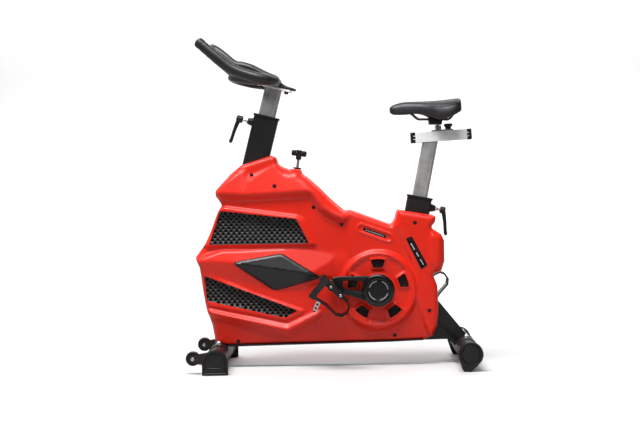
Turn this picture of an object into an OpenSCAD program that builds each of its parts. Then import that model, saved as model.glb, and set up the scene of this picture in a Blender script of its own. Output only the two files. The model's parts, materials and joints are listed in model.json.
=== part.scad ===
// Indoor spin bike. X runs front (-) to rear (+), Y across, Z up; the origin is on the floor, mid length.
// "left" is the rider's left, the -Y side. Points on the XZ plane are written [x, z].

/* [Frame] */
// Width across of every frame tube
tube_w = 50; // [44:1:50]
// Wall of the frame tubes
tube_wall = 3; // [2:0.5:4]
// Tilt of the handlebar post from upright
head_tilt = 14.5; // [13:0.5:16]
// Tilt of the seat post from upright
seat_tilt = 11.4; // [10:0.2:13]
// Radius of the two cross tubes on the floor
stabilizer_r = 38; // [34:1:38]
// Length of each cross tube
stabilizer_length = 480; // [440:10:480]

/* [Shroud] */
// Half width of the shroud's plain faces
shroud_half = 68; // [66:1:68]
// Half width of its raised panels
panel_half = 84; // [82:1:84]
// Half width of the round cover at the crank
ring_half = 88; // [86:1:88]
// Wall of the plastic shells
shell_wall = 4; // [3:0.5:4]
// Radius of the round cover
ring_r = 132; // [124:1:134]

/* [Drive] */
// Radius of the flywheel
flywheel_r = 175; // [150:1:175]
// Width of the flywheel's rim
flywheel_w = 28; // [20:1:28]
// Radius of the belt pulley on the crank
drive_pulley_r = 100; // [90:1:105]
// Radius of the belt pulley on the flywheel
flywheel_pulley_r = 30; // [26:1:34]
// Crank length, axis to axis
crank_length = 172; // [165:1:175]

/* [Contact points] */
// Width of the handlebar across its horns
handlebar_width = 440; // [400:10:460]
// Width of the saddle
saddle_width = 200; // [180:5:220]
// Middle of each pedal from the centre plane
pedal_y = 172; // [170:1:176]

/* [Hidden] */
$fn = 64;

tube_half = tube_w / 2;
fit = 0.05;     // radial clearance of a shaft that turns or slides in a bore
gap = 0.4;      // clearance between the post and its collar, and round what passes the shroud

// Where the axes lie
head_at = [-238.5, 924.5];   // middle of the head tube's rim
seat_at = [327, 616];        // middle of the seat tube's rim
crank_at = [166, 284];
flywheel_at = [-300, 378];
front_bar_at = [-424, 50];
rear_bar_at = [487, 62];
wheel_at = [-506, 57];
knob_at = [-119, 789];
knob_tilt = 8;
lever_r = 13;

// ---------- helpers ----------

function unit(v) = v / norm(v);

// A closed outline moved inwards by d. Outlines here run anticlockwise seen from the left side (-Y).
function edge_normal(a, b) = let (e = unit(b - a)) [-e[1], e[0]];
function inset(p, d) = let (n = len(p)) [
    for (i = [0 : n - 1])
        let (
            m = edge_normal(p[(i + n - 1) % n], p[i]),
            k = edge_normal(p[i], p[(i + 1) % n])
        )
        p[i] + d * (m + k) / (1 + m * k)];

// The outline of a band of width w along an open path
function path_normal(p, i) = let (
    a = p[max(i - 1, 0)],
    b = p[min(i + 1, len(p) - 1)]
) edge_normal(a, b);
function band(p, w) = concat(
    [for (i = [0 : len(p) - 1]) p[i] + path_normal(p, i) * w / 2],
    [for (i = [len(p) - 1 : -1 : 0]) p[i] - path_normal(p, i) * w / 2]);

// A flat shape of the XZ plane, standing between two values of Y
module slab(y0, y1) {
    translate([0, y1, 0])
        rotate([90, 0, 0])
            linear_extrude(y1 - y0)
                children();
}

module rod_y(at, y0, y1, r) {
    translate([at[0], y1, at[1]])
        rotate([90, 0, 0])
            cylinder(r = r, h = y1 - y0);
}

module both_sides() {
    children();
    mirror([0, 1, 0])
        children();
}

// Places things on an axis that leans back by tilt
module on_axis(at, tilt) {
    translate([at[0], 0, at[1]])
        rotate([0, tilt, 0])
            children();
}

// A square tube between two points of the centre plane
module square_tube(a, b, h, w, wall) {
    length = norm(b - a);
    angle = atan2(b[1] - a[1], b[0] - a[0]);
    translate([a[0], 0, a[1]])
        rotate([0, -angle, 0])
            difference() {
                translate([0, -w / 2, -h / 2])
                    cube([length, w, h]);
                if (wall > 0)
                    translate([-1, -w / 2 + wall, -h / 2 + wall])
                        cube([length + 2, w - 2 * wall, h - 2 * wall]);
            }
}

module rounded(w, d, r) {
    square([w - 2 * r, d], center = true);
    square([w, d - 2 * r], center = true);
    for (x = [-1, 1], y = [-1, 1])
        translate([x * (w / 2 - r), y * (d / 2 - r)])
            circle(r = r);
}

module profile_tube(w, d, r, wall, z0, z1) {
    translate([0, 0, z0])
        linear_extrude(z1 - z0)
            difference() {
                rounded(w, d, r);
                rounded(w - 2 * wall, d - 2 * wall, r - wall);
            }
}

// ---------- frame ----------

head_size = [92, tube_w];
seat_size = [91, tube_w];
head_length = 335;
seat_length = 470;
beam_h = 60;
strut_h = 60;
beam_front = [-424, 107.7];
beam_rear = [438, 122.1];
main_from = [-282, 716];
main_to = [262, 390];
strut_from = [258, 350];
strut_to = [475, 82];
fork_inner = 43;
fork_outer = 50;
fork_half = 30;

// Room for the head tube and the seat tube in what they pass through
module head_solid(extra = 0) {
    on_axis(head_at, head_tilt)
        translate([-head_size[0] / 2 - extra, -head_size[1] / 2 - 1, -head_length])
            cube([head_size[0] + 2 * extra, head_size[1] + 2, head_length]);
}

module seat_solid(extra = 0) {
    on_axis(seat_at, seat_tilt)
        translate([-seat_size[0] / 2 - extra, -seat_size[1] / 2 - 1, -seat_length])
            cube([seat_size[0] + 2 * extra, seat_size[1] + 2, seat_length]);
}

module cross_bars() {
    rod_y(front_bar_at, -300, 300, stabilizer_r);
    rod_y(rear_bar_at, -300, 300, stabilizer_r);
}

module beam_solid() {
    square_tube(beam_front, beam_rear, beam_h, tube_w + 2, 0);
}

module strut_solid() {
    square_tube(strut_from, strut_to, strut_h, tube_w + 2, 0);
}

module base_beam() {
    color("#2a2829")
        difference() {
            square_tube(beam_front, beam_rear, beam_h, tube_w, tube_wall);
            cross_bars();
            strut_solid();
        }
}

module head_tube() {
    color("#2a2829")
        on_axis(head_at, head_tilt)
            profile_tube(head_size[0], head_size[1], 8, tube_wall, -head_length, 0);
}

module seat_tube() {
    color("#2a2829")
        difference() {
            on_axis(seat_at, seat_tilt)
                profile_tube(seat_size[0], seat_size[1], 8, tube_wall, -seat_length - 40, 0);
            beam_solid();
        }
}

module main_tube() {
    color("#2a2829")
        difference() {
            square_tube(main_from, main_to, strut_h, tube_w, tube_wall);
            head_solid();
            seat_solid();
            guide_bore(guide_r);
        }
}

module rear_strut() {
    color("#2a2829")
        difference() {
            square_tube(strut_from, strut_to, strut_h, tube_w, tube_wall);
            seat_solid();
            cross_bars();
        }
}

// Two plates that carry the flywheel, with packing blocks where they meet the frame
module fork() {
    color("#2a2829")
        difference() {
            both_sides()
                union() {
                    slab(-fork_outer, -fork_inner)
                        polygon([[-330, 96], [-270, 96], [-270, 640], [-330, 640]]);
                    for (z = [98, 602])
                        slab(-fork_inner, -tube_half)
                            polygon([[-330, z], [-270, z], [-270, z + 36], [-330, z + 36]]);
                }
            rod_y(flywheel_at, -60, 60, axle_r);
        }
}

shell_r = 24;
shell_y = [-36, 24];

module bottom_bracket() {
    color("#2a2829")
        difference() {
            union() {
                rod_y(crank_at, shell_y[0], shell_y[1], shell_r);
                square_tube(crank_at, [crank_at[0] + 90, crank_at[1]], 36, 46, 0);
                square_tube(crank_at, [crank_at[0], 110], 36, 46, 0);
            }
            rod_y(crank_at, -60, 60, bearing_r);
            seat_solid();
            beam_solid();
        }
}

// ---------- feet and wheels ----------

stabilizer_half = stabilizer_length / 2;
wheel_y = 215;
bolt_y = 82;    // clear of the shroud's sides
wheel_r = 26;
wheel_half = 10;

module stabilizer(at) {
    difference() {
        rod_y(at, -stabilizer_half, stabilizer_half, stabilizer_r);
        rod_y(at, -stabilizer_half - 1, stabilizer_half + 1, stabilizer_r - tube_wall);
    }
}

module front_stabilizer() {
    color("#2b2223") {
        stabilizer(front_bar_at);
        both_sides()
            for (y = [wheel_y - wheel_half - 5, wheel_y + wheel_half + 1])
                difference() {
                    slab(-y - 4, -y)
                        polygon([[-448, 30], [-448, 78], [-500, 70], [-518, 64], [-518, 50], [-500, 40]]);
                    rod_y(front_bar_at, -300, 300, stabilizer_r);
                    rod_y(wheel_at, -300, 300, 4);
                }
    }
}

module rear_stabilizer() {
    color("#2b2223")
        stabilizer(rear_bar_at);
}

// Domed nuts that hold the frame on the cross tubes
module stabilizer_bolts() {
    color("silver")
        for (at = [front_bar_at, rear_bar_at], y = [-bolt_y, bolt_y])
            translate([at[0], y, at[1] + stabilizer_r - 1]) {
                difference() {
                    cylinder(r = 11, h = 9);
                    translate([-at[0], -y, -at[1] - stabilizer_r + 1])
                        rod_y(at, -300, 300, stabilizer_r);
                }
                translate([0, 0, 9])
                    cylinder(r = 8, h = 9);
            }
}

foot_y = [stabilizer_half, 260];

module front_feet() {
    color("#1c1c1e")
        both_sides()
            slab(-foot_y[1], -foot_y[0])
                polygon([[-471, 50], [-466, 72], [-452, 86], [-430, 91], [-402, 88], [-385, 74], [-378, 50],
                         [-380, 12], [-386, 0], [-462, 0], [-470, 12]]);
}

module rear_feet() {
    color("#1c1c1e")
        both_sides()
            union() {
                rod_y(rear_bar_at, -foot_y[1], -foot_y[0], 45);
                slab(-foot_y[1], -foot_y[0])
                    polygon([[446, 42], [456, 0], [488, 0], [520, 32], [487, 62]]);
            }
}

module transport_wheel(side) {
    color("#1c1c1e")
        difference() {
            rod_y(wheel_at, side * wheel_y - wheel_half, side * wheel_y + wheel_half, wheel_r);
            rod_y(wheel_at, -300, 300, 4 + fit);
        }
}

module wheel_bolts() {
    color("silver")
        both_sides() {
            rod_y(wheel_at, -wheel_y - 24, -wheel_y + 22, 4);
            rod_y(wheel_at, -wheel_y - 23, -wheel_y - 15, 7);
            rod_y(wheel_at, -wheel_y + 15, -wheel_y + 21, 7);
        }
}

// ---------- collars ----------

post_f = [64, 30];
post_r = [56, 30];
collar_depth = 60;

module collar(size, post) {
    difference() {
        union() {
            linear_extrude(8)
                rounded(size[0] + 6, size[1] + 6, 10);
            translate([0, 0, -collar_depth])
                linear_extrude(collar_depth)
                    rounded(size[0] - 2 * tube_wall, size[1] - 2 * tube_wall, 5);
        }
        translate([0, 0, -collar_depth - 1])
            linear_extrude(collar_depth + 12)
                rounded(post[0] + 2 * gap, post[1] + 2 * gap, 10 + gap);
    }
}

module head_collar() {
    color("#161617")
        on_axis(head_at, head_tilt)
            collar(head_size, post_f);
}

module seat_collar() {
    color("#161617")
        on_axis(seat_at, seat_tilt)
            collar(seat_size, post_r);
}

// ---------- shroud ----------

// The whole side view, from the top of the front sleeve round by the nose, floor edge and seat column
shroud_outline = [
    [-332, 750], [-372, 718], [-427, 658], [-429, 638], [-406, 602], [-422, 578], [-450, 504],
    [-470, 462], [-508, 410], [-492, 375], [-482, 290], [-470, 223], [-450, 160], [-440, 98],
    [-393, 84], [215, 92], [340, 96], [366, 110], [381, 140], [388, 195], [385, 294], [368, 338],
    [400, 348], [412, 384], [412, 460], [402, 484], [363, 509], [380, 530], [383, 552], [243, 576],
    [232, 537], [218, 521], [66, 578], [48, 574], [-4, 620], [-45, 662], [-86, 699], [-106, 714],
    [-111, 722], [-111, 730], [-148, 735], [-154, 731], [-172, 738], [-188, 745], [-198, 754],
    [-203, 772], [-207, 779], [-222, 784]];
upper_panel = [[-50, 446], [-104, 550], [-128, 566], [-409, 606], [-470, 450]];
lower_panel = [[-486, 340], [-464, 225], [-168, 158], [-31, 204], [110, 180], [110, 400], [20, 426],
               [-64, 438], [-409, 438], [-500, 405]];
upper_window = [[-86, 458], [-132, 549], [-412, 583], [-455, 458]];
lower_window = [[-467, 251], [-178, 184], [-130, 211], [-475, 345]];
diamond = [[-360, 386], [-354, 397], [-200, 420], [-185, 420], [-55, 332], [-206, 286], [-220, 290]];
screw_places = [[-293, 713], [-209, 671], [-67, 590], [35, 527], [305, 528], [353, 204], [225, 113],
                [-354, 98]];
ring_window_r = [80, 113];

module ring_window() {
    difference() {
        polygon([[0, 0], [-42, 150], [42, 150]]);
        circle(r = ring_window_r[0]);
    }
}

// The five windows round the crank, the first one on top
module ring_windows() {
    translate(crank_at)
        intersection() {
            circle(r = ring_window_r[1]);
            for (i = [0 : 4])
                rotate(i * 72)
                    ring_window();
        }
}

// The left half's outer form, or its hollow when it is taken in by the shell's wall
module shroud_form(d) {
    slab(-shroud_half + d, d > 0 ? 1 : 0)
        polygon(inset(shroud_outline, d));
    slab(-panel_half + d, -shroud_half / 2)
        polygon(inset(upper_panel, d));
    slab(-panel_half + d, -shroud_half / 2)
        polygon(inset(lower_panel, d));
    rod_y(crank_at, -ring_half + d, -shroud_half / 2, ring_r - d);
}

module shroud_half_shell() {
    difference() {
        shroud_form(0);
        shroud_form(shell_wall);
        slab(-100, -60) {
            polygon(upper_window);
            polygon(lower_window);
            ring_windows();
        }
        rod_y(crank_at, -100, -60, 30);
        head_solid(gap);
        seat_solid(gap);
        beam_solid();
        strut_solid();
        guide_bore(grommet_r);
    }
}

module shroud_left() {
    color("#dc2d1e")
        shroud_half_shell();
}

module shroud_right() {
    color("#dc2d1e")
        mirror([0, 1, 0])
            shroud_half_shell();
}

// A sheet behind a window, reaching past its edge but not into the panel's side walls
module grille(window, panel) {
    slab(-panel_half + shell_wall, -panel_half + shell_wall + 3)
        intersection() {
            polygon(inset(window, -3));
            polygon(inset(panel, shell_wall + gap));
        }
}

module grilles() {
    color("#202022")
        both_sides() {
            grille(upper_window, upper_panel);
            grille(lower_window, lower_panel);
        }
}

module diamond_panels() {
    color("#161618")
        both_sides()
            slab(-panel_half - 7, -panel_half)
                polygon(diamond);
}

module ring_backings() {
    color("#101012")
        both_sides()
            difference() {
                rod_y(crank_at, -ring_half + shell_wall, -ring_half + shell_wall + 2, 122);
                rod_y(crank_at, -100, -50, 62);
            }
}

module shroud_screws() {
    color("#141414")
        both_sides()
            for (p = screw_places)
                rod_y(p, -shroud_half - 2, -shroud_half, 6);
}

module badges() {
    color("#1b1b1d")
        both_sides() {
            slab(-shroud_half - 2, -shroud_half)
                translate([157, 492])
                    rotate(-20)
                        rounded(108, 20, 9.9);
            slab(-shroud_half - 2, -shroud_half)
                polygon([[270, 470], [292, 479], [348, 372], [325, 355]]);
        }
}

// ---------- brake ----------

rod_r = 5;
guide_r = 9;
grommet_r = 11;
guide_z = [-206, -110];
rod_bottom = -240;
brake_gap = 6.7;
thread_room = 2.4; // hollow below the rod's end, for the shoe to climb its thread

module guide_bore(r) {
    on_axis(knob_at, knob_tilt)
        translate([0, 0, -220])
            cylinder(r = r, h = 200);
}

module brake_guide() {
    color("#2a2829")
        on_axis(knob_at, knob_tilt)
            translate([0, 0, guide_z[0]])
                difference() {
                    cylinder(r = guide_r, h = guide_z[1] - guide_z[0]);
                    translate([0, 0, -1])
                        cylinder(r = rod_r + fit, h = guide_z[1] - guide_z[0] + 2);
                }
}

module knob_grommet() {
    color("#161617")
        on_axis(knob_at, knob_tilt)
            translate([0, 0, -68])
                difference() {
                    union() {
                        cylinder(r = grommet_r, h = 12);
                        translate([0, 0, 12])
                            cylinder(r = grommet_r + 4, h = 5);
                    }
                    translate([0, 0, -1])
                        cylinder(r = rod_r + gap, h = 30);
                }
}

module brake_rod() {
    color("silver")
        on_axis(knob_at, knob_tilt)
            translate([0, 0, rod_bottom])
                cylinder(r = rod_r, h = -rod_bottom);
}

module brake_knob() {
    color("#161617")
        on_axis(knob_at, knob_tilt)
            difference() {
                union() {
                    translate([0, 0, -22])
                        cylinder(r = 11, h = 14);
                    translate([0, 0, -10])
                        cylinder(r = 12, h = 25);
                    translate([-18, -7, -6])
                        cube([36, 14, 16]);
                    for (x = [-18.5, 18.5])
                        translate([x, 0, -9])
                            cylinder(r = 10, h = 22);
                }
                translate([0, 0, -30])
                    cylinder(r = rod_r + fit, h = 30 + 2 * fit);
            }
}

// A felt-faced shoe on the end of the rod, over the flywheel's rim
module brake_shoe() {
    color("#3a3a3c")
        difference() {
            union() {
                on_axis(knob_at, knob_tilt)
                    translate([0, 0, rod_bottom - 12])
                        cylinder(r = 10, h = 30);
                slab(-12, 12)
                    polygon([[-226, 556], [-226, 530], [-190, 500], [-140, 460], [-132, 480],
                             [-138, 545], [-165, 552]]);
            }
            on_axis(knob_at, knob_tilt)
                translate([0, 0, rod_bottom - thread_room])
                    cylinder(r = rod_r + fit, h = 60);
            rod_y(flywheel_at, -20, 20, flywheel_r + brake_gap);
        }
}

// ---------- flywheel and belt ----------

axle_r = 8.5;
bearing_r = 17.5;
belt_y = [26, 38];
belt_t = 4;

module flywheel_axle() {
    color("silver") {
        rod_y(flywheel_at, -60, 60, axle_r);
        both_sides()
            difference() {
                rod_y(flywheel_at, -57, -fork_outer, 14);
                rod_y(flywheel_at, -80, 80, axle_r);
            }
    }
}

module bearing(at, y0, y1, bore) {
    difference() {
        rod_y(at, y0, y1, bearing_r);
        rod_y(at, y0 - 1, y1 + 1, bore);
    }
}

module bearings() {
    color("silver") {
        bearing(flywheel_at, -24, -12, axle_r);
        bearing(flywheel_at, 12, 24, axle_r);
        bearing(crank_at, shell_y[0], shell_y[0] + 12, spindle_r + fit);
        bearing(crank_at, shell_y[1] - 12, shell_y[1], spindle_r + fit);
    }
}

module flywheel() {
    color("#8a8c90")
        difference() {
            union() {
                rod_y(flywheel_at, -flywheel_w / 2, flywheel_w / 2, flywheel_r);
                rod_y(flywheel_at, -24, 24, 30);
            }
            both_sides()
                difference() {
                    rod_y(flywheel_at, -20, -6, flywheel_r - 38);
                    rod_y(flywheel_at, -21, -5, 40);
                }
            rod_y(flywheel_at, -60, 60, bearing_r + fit);
        }
}

module flywheel_pulley() {
    color("#4a4b4e")
        difference() {
            rod_y(flywheel_at, 24, belt_y[1] + 1, flywheel_pulley_r);
            rod_y(flywheel_at, -60, 60, axle_r + 1);
        }
}

// Outline of the belt's run round both pulleys, at a distance d from their rims
function arc(at, r, from, sweep, steps) =
    [for (i = [0 : steps]) at + r * [cos(from + sweep * i / steps), sin(from + sweep * i / steps)]];
belt_line = crank_at - flywheel_at;
belt_lie = atan2(belt_line[1], belt_line[0]);
belt_wrap = acos((drive_pulley_r - flywheel_pulley_r) / norm(belt_line));
function belt_outline(d) = concat(
    arc(flywheel_at, flywheel_pulley_r + d, belt_lie + 180 - belt_wrap, 2 * belt_wrap, 40),
    arc(crank_at, drive_pulley_r + d, belt_lie - 180 + belt_wrap, 360 - 2 * belt_wrap, 90));

module belt() {
    color("#1a1a1a")
        slab(belt_y[0] + 1, belt_y[1] - 1)
            difference() {
                polygon(belt_outline(0.4 + belt_t));
                polygon(belt_outline(0.4));
            }
}

module drive_pulley() {
    color("#4a4b4e")
        difference() {
            rod_y(crank_at, belt_y[0], belt_y[1], drive_pulley_r);
            for (i = [0 : 4])
                translate([crank_at[0], 0, crank_at[1]])
                    rotate([0, i * 72, 0])
                        rod_y([0, 60], -60, 60, 22);
            rod_y(crank_at, -60, 60, spindle_r);
        }
}

// ---------- cranks and pedals ----------

spindle_r = 10;
crank_rise = 7.3;            // the near crank points forward and this much up
arm_y = [94, 110];
cap_y = 124;
cap_r = 60;
pedal_tilt = -43;            // lie of the left pedal, its toe end down and back
pedal_right_tilt = 50;       // lie of the right pedal, its toe end up and back
pedal_half_w = 45;

// The right crank points the other way
module right_crank() {
    translate([2 * crank_at[0], 0, 2 * crank_at[1]])
        rotate([0, 180, 0])
            mirror([0, 1, 0])
                children();
}

crank_vector = crank_length * [-cos(crank_rise), sin(crank_rise)];
pedal_at = crank_at + crank_vector;
pedal_right_at = crank_at - crank_vector;

module crank_spindle() {
    color("silver")
        rod_y(crank_at, -arm_y[1] + 1, arm_y[1] - 1, spindle_r);
}

// A flat arm with a window, wide at the hub
module crank_arm() {
    difference() {
        union() {
            slab(-arm_y[1], -arm_y[0]) {
                polygon([[-9, 288], [-12, 322], [-2, 333], [26, 337], [140, 338], [150, 240], [107, 250],
                         [30, 274], [10, 284]]);
                translate(crank_at)
                    circle(r = 50);
            }
            rod_y(crank_at, -arm_y[0], -arm_y[0] + 3, 24);
            rod_y(pedal_at, -arm_y[1], -arm_y[0], 19);
        }
        slab(-arm_y[1] - 1, -arm_y[0] + 1)
            polygon([[36, 292], [36, 320], [108, 319], [104, 282]]);
        rod_y(crank_at, -cap_y, -50, spindle_r);
        rod_y(pedal_at, -cap_y, -50, pedal_pin_r);
    }
}

module crank_arm_left() {
    color("#1f1f21")
        crank_arm();
}

module crank_arm_right() {
    color("#1f1f21")
        right_crank()
            crank_arm();
}

module crank_caps() {
    color("#1f1f21")
        both_sides() {
            rod_y(crank_at, -cap_y + 3, -arm_y[1], cap_r);
            rod_y(crank_at, -cap_y, -cap_y + 3, cap_r - 6);
        }
}

pedal_pin_r = 6;

module pedal_pin() {
    rod_y(pedal_at, -pedal_y - 38, -arm_y[0] - 4, pedal_pin_r);
}

module pedal_spindles() {
    color("silver") {
        pedal_pin();
        right_crank()
            pedal_pin();
    }
}

// A pedal's own frame: x towards the toe, -z towards the cage, on the pedal's axis
module on_left_pedal() {
    translate([pedal_at[0], -pedal_y, pedal_at[1]])
        rotate([0, -pedal_tilt, 0])
            children();
}

module on_right_pedal() {
    translate([pedal_right_at[0], pedal_y, pedal_right_at[1]])
        rotate([0, -pedal_right_tilt, 0])
            mirror([0, 1, 0])
                children();
}

module pedal() {
    difference() {
        union() {
            translate([-52, -pedal_half_w, -10])
                cube([104, 2 * pedal_half_w, 20]);
            rod_y([0, 0], -pedal_half_w, pedal_half_w + 5, 14);
        }
        for (x = [-44, 18], y = [-38, 8])
            translate([x, y, -20])
                cube([26, 30, 40]);
        rod_y([0, 0], -41, 60, pedal_pin_r + fit);
    }
}

// The cage goes round the toe and back under the hanging pedal
cage_path = [[52, 0], [78, -2], [97, -12], [104, -30], [98, -52], [80, -64], [33, -62], [-22, -71]];
cage_t = 6;

module toe_cage() {
    for (y = [-41, 27])
        slab(y, y + 14)
            polygon(band(cage_path, cage_t));
    slab(-27, 27)
        polygon(band([cage_path[3], cage_path[4]], cage_t));
    slab(-27, 27)
        polygon(band([cage_path[5], cage_path[6]], cage_t));
}

strap_t = 2.5;
strap_half = 10;

module toe_strap() {
    for (side = [-1, 1])
        translate([-40, side * 48 - strap_t / 2, -66])
            cube([2 * strap_half, strap_t, 76]);
    translate([-40, -48 - strap_t / 2, -78])
        cube([2 * strap_half, 96 + strap_t, strap_t]);
    translate([-42, -56, -76])
        cube([24, 6.5, 22]);
}

module pedal_left() {
    color("#1f1f21")
        on_left_pedal()
            pedal();
}

module pedal_right() {
    color("#1f1f21")
        on_right_pedal()
            pedal();
}

module toe_cage_left() {
    color("#19191a")
        on_left_pedal()
            toe_cage();
}

module toe_cage_right() {
    color("#19191a")
        on_right_pedal()
            toe_cage();
}

module toe_strap_left() {
    color("#2c2c2c")
        on_left_pedal()
            toe_strap();
}

module toe_strap_right() {
    color("#2c2c2c")
        on_right_pedal()
            toe_strap();
}

// ---------- handlebar ----------

plate_z = 112;
plate_t = 8;

module handlebar_post() {
    color("#a9abae")
        on_axis(head_at, head_tilt)
            profile_tube(post_f[0], post_f[1], 10, 2.5, -190, plate_z);
}

module handlebar_plate() {
    color("#c8cacd")
        on_axis(head_at, head_tilt)
            difference() {
                translate([2, 0, plate_z])
                    linear_extrude(plate_t)
                        rounded(134, 50, 12);
                for (x = [-46, 50])
                    translate([x, 0, plate_z - 1])
                        cylinder(r = 4 + fit, h = plate_t + 2);
            }
}

module handlebar_bolts() {
    color("#161617")
        on_axis(head_at, head_tilt)
            for (x = [-46, 50])
                translate([x, 0, plate_z - 9]) {
                    cylinder(r = 8, h = 9);
                    cylinder(r = 4, h = 9 + plate_t);
                }
}

horn_y = handlebar_width / 2 - 20;
horn_path = [
    [-463, -horn_y, 1188], [-445, -horn_y, 1172], [-399, -horn_y, 1133], [-356, -horn_y, 1096],
    [-310, -horn_y, 1076], [-256, -horn_y + 2, 1059], [-222, -horn_y + 16, 1052],
    [-204, -horn_y + 42, 1052], [-200, -horn_y + 70, 1053], [-200, 0, 1056]];
loop_path = [
    [-200, -62, 1062], [-228, -62, 1072], [-290, -62, 1104], [-322, -62, 1116], [-346, -60, 1116],
    [-384, -54, 1146], [-420, -40, 1176], [-432, -20, 1183], [-434, 0, 1184]];
link_path = [[-204, -horn_y + 42, 1052], [-300, -110, 1062], [-372, -66, 1082], [-384, 0, 1086]];

module half_bar(path, r) {
    for (i = [0 : len(path) - 2])
        hull() {
            translate(path[i])
                sphere(r = r, $fn = 20);
            translate(path[i + 1])
                sphere(r = r, $fn = 20);
        }
}

module handlebar() {
    color("#2b2b2d")
        difference() {
            union() {
                both_sides() {
                    half_bar(horn_path, 20);
                    half_bar(loop_path, 17);
                    half_bar(link_path, 15);
                }
                on_axis(head_at, head_tilt)
                    hull()
                        for (x = [-58, 66])
                            translate([x, 0, plate_z + plate_t])
                                cylinder(r = 27, h = 12, $fn = 32);
            }
            on_axis(head_at, head_tilt)
                translate([-150, -150, -200 + plate_z + plate_t])
                    cube([300, 300, 200]);
        }
}

// ---------- clamp levers ----------

// A ratchet lever: threaded boss, stud, and a handle that hangs along -z of its own frame
module lever(boss, head, arm, flare) {
    rotate([0, 90, 0])
        cylinder(r = 5, h = boss + head);
    translate([boss + 18, 0, 0]) {
        rotate([0, 90, 0])
            cylinder(r = lever_r, h = head - 18);
        rotate([0, -flare, 0])
            translate([5, -7, -arm])
                cube([15, 14, arm]);
    }
    rotate([0, 90, 0])
        cylinder(r = 11, h = boss);
}

module front_lever() {
    color("#19191a")
        on_axis(head_at, head_tilt)
            translate([-head_size[0] / 2 - 0.3, 0, -27])
                mirror([1, 0, 0])
                    lever(20, 42, 95, 10);
}

module rear_lever() {
    color("#19191a")
        on_axis(seat_at, seat_tilt)
            translate([seat_size[0] / 2 + 0.3, 0, -27])
                lever(19, 38, 97, 16.4);
}

// ---------- seat ----------

rail_from = [306, 841];
rail_to = [514, 852];
rail_h = 38;
rail_w = 36;
rail_tilt = -atan2(rail_to[1] - rail_from[1], rail_to[0] - rail_from[0]);
rail_length = norm(rail_to - rail_from);
slot_w = 16;
stub_at = 95;            // along the rail
slider_knob_at = 133;
clamp_pivot = [393, 900];

module on_rail() {
    translate([rail_from[0], 0, rail_from[1]])
        rotate([0, rail_tilt, 0])
            children();
}

module rail_solid() {
    on_rail()
        translate([0, -rail_w / 2, -rail_h / 2])
            cube([rail_length, rail_w, rail_h]);
}

module seat_post() {
    color("#a9abae")
        difference() {
            on_axis(seat_at, seat_tilt)
                profile_tube(post_r[0], post_r[1], 10, 2.5, -200, 240);
            rail_solid();
            on_rail()
                translate([-50, -50, 0])
                    cube([400, 100, 100]);
        }
}

module seat_rail() {
    color("#c8cacd")
        on_rail()
            difference() {
                translate([0, -rail_w / 2, -rail_h / 2])
                    cube([rail_length, rail_w, rail_h]);
                translate([-1, -rail_w / 2 + 3, -rail_h / 2 + 3])
                    cube([rail_length + 2, rail_w - 6, rail_h - 6]);
                translate([-1, -slot_w / 2, 0])
                    cube([rail_length + 2, slot_w, rail_h]);
            }
}

module rail_caps() {
    color("#161617")
        on_rail()
            for (x = [-9, rail_length])
                translate([x, -rail_w / 2 - 1, -rail_h / 2 - 1])
                    cube([9, rail_w + 2, rail_h + 2]);
}

// Foot in the rail, neck through its slot, plate on top and the chromed stub
module seat_carriage() {
    color("silver")
        union() {
            on_rail()
                difference() {
                    union() {
                        translate([70, -rail_w / 2 + 3 + gap, -rail_h / 2 + 3 + gap])
                            cube([80, rail_w - 6 - 2 * gap, rail_h - 6 - 2 * gap]);
                        translate([70, -slot_w / 2 + gap, 0])
                            cube([80, slot_w - 2 * gap, rail_h / 2 + 1]);
                        translate([70, -rail_w / 2, rail_h / 2 + gap])
                            cube([80, rail_w, 4]);
                        translate([stub_at, 0, rail_h / 2 + 4])
                            cylinder(r = 12.5, h = 16);
                    }
                    translate([slider_knob_at, 0, -20])
                        cylinder(r = 4 + fit, h = 80);
                }
            difference() {
                union() {
                    rod_y(clamp_pivot, -11.5, 11.5, 10);
                    on_rail()
                        translate([stub_at - 9, -9, rail_h / 2 + 4])
                            cube([14, 18, 34]);
                }
                rod_y(clamp_pivot, -20, 20, 4 + fit);
            }
        }
}

module slider_knob() {
    color("#161617")
        on_rail()
            translate([slider_knob_at, 0, 0]) {
                cylinder(r = 4, h = 30);
                translate([0, 0, rail_h / 2 + 4 + 2 * gap])
                    cylinder(r = 17, h = 20);
            }
}

rail_bar_y = 22;
rail_bar_r = 3.5;
rail_bar_path = [[300, 931.5], [326, 910], [440, 908], [462, 931.5]];

module saddle_clamp() {
    color("#2a2a2c")
        difference() {
            union() {
                both_sides()
                    slab(-31, -12)
                        polygon([[366, 890], [412, 889], [416, 916], [364, 918]]);
                rod_y(clamp_pivot, -34, 34, 4);
            }
            both_sides()
                rail_bar(rail_bar_r + 0.02);
        }
}

module rail_bar(r) {
    for (i = [0 : 2])
        hull()
            for (p = [rail_bar_path[i], rail_bar_path[i + 1]])
                translate([p[0], -rail_bar_y, p[1]])
                    sphere(r = r, $fn = 24);
}

module saddle_rails() {
    color("#3a3b3d")
        both_sides()
            rail_bar(rail_bar_r);
}

// Plain cushion: long nose, wide back, hollow underneath for the rails
module saddle() {
    color("#232326")
        difference() {
            hull() {
                translate([245, 0, 931])
                    cylinder(r = 26, h = 40, $fn = 32);
                translate([330, 0, 936])
                    cylinder(r = 40, h = 40, $fn = 32);
                for (side = [-1, 1]) {
                    translate([437, side * (saddle_width / 2 - 50), 944])
                        cylinder(r = 50, h = 39, $fn = 32);
                    translate([412, side * (saddle_width / 2 - 22), 909])
                        cylinder(r = 20, h = 60, $fn = 32);
                }
            }
            translate([262, -58, 880])
                cube([240, 116, 55]);
        }
}

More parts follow.
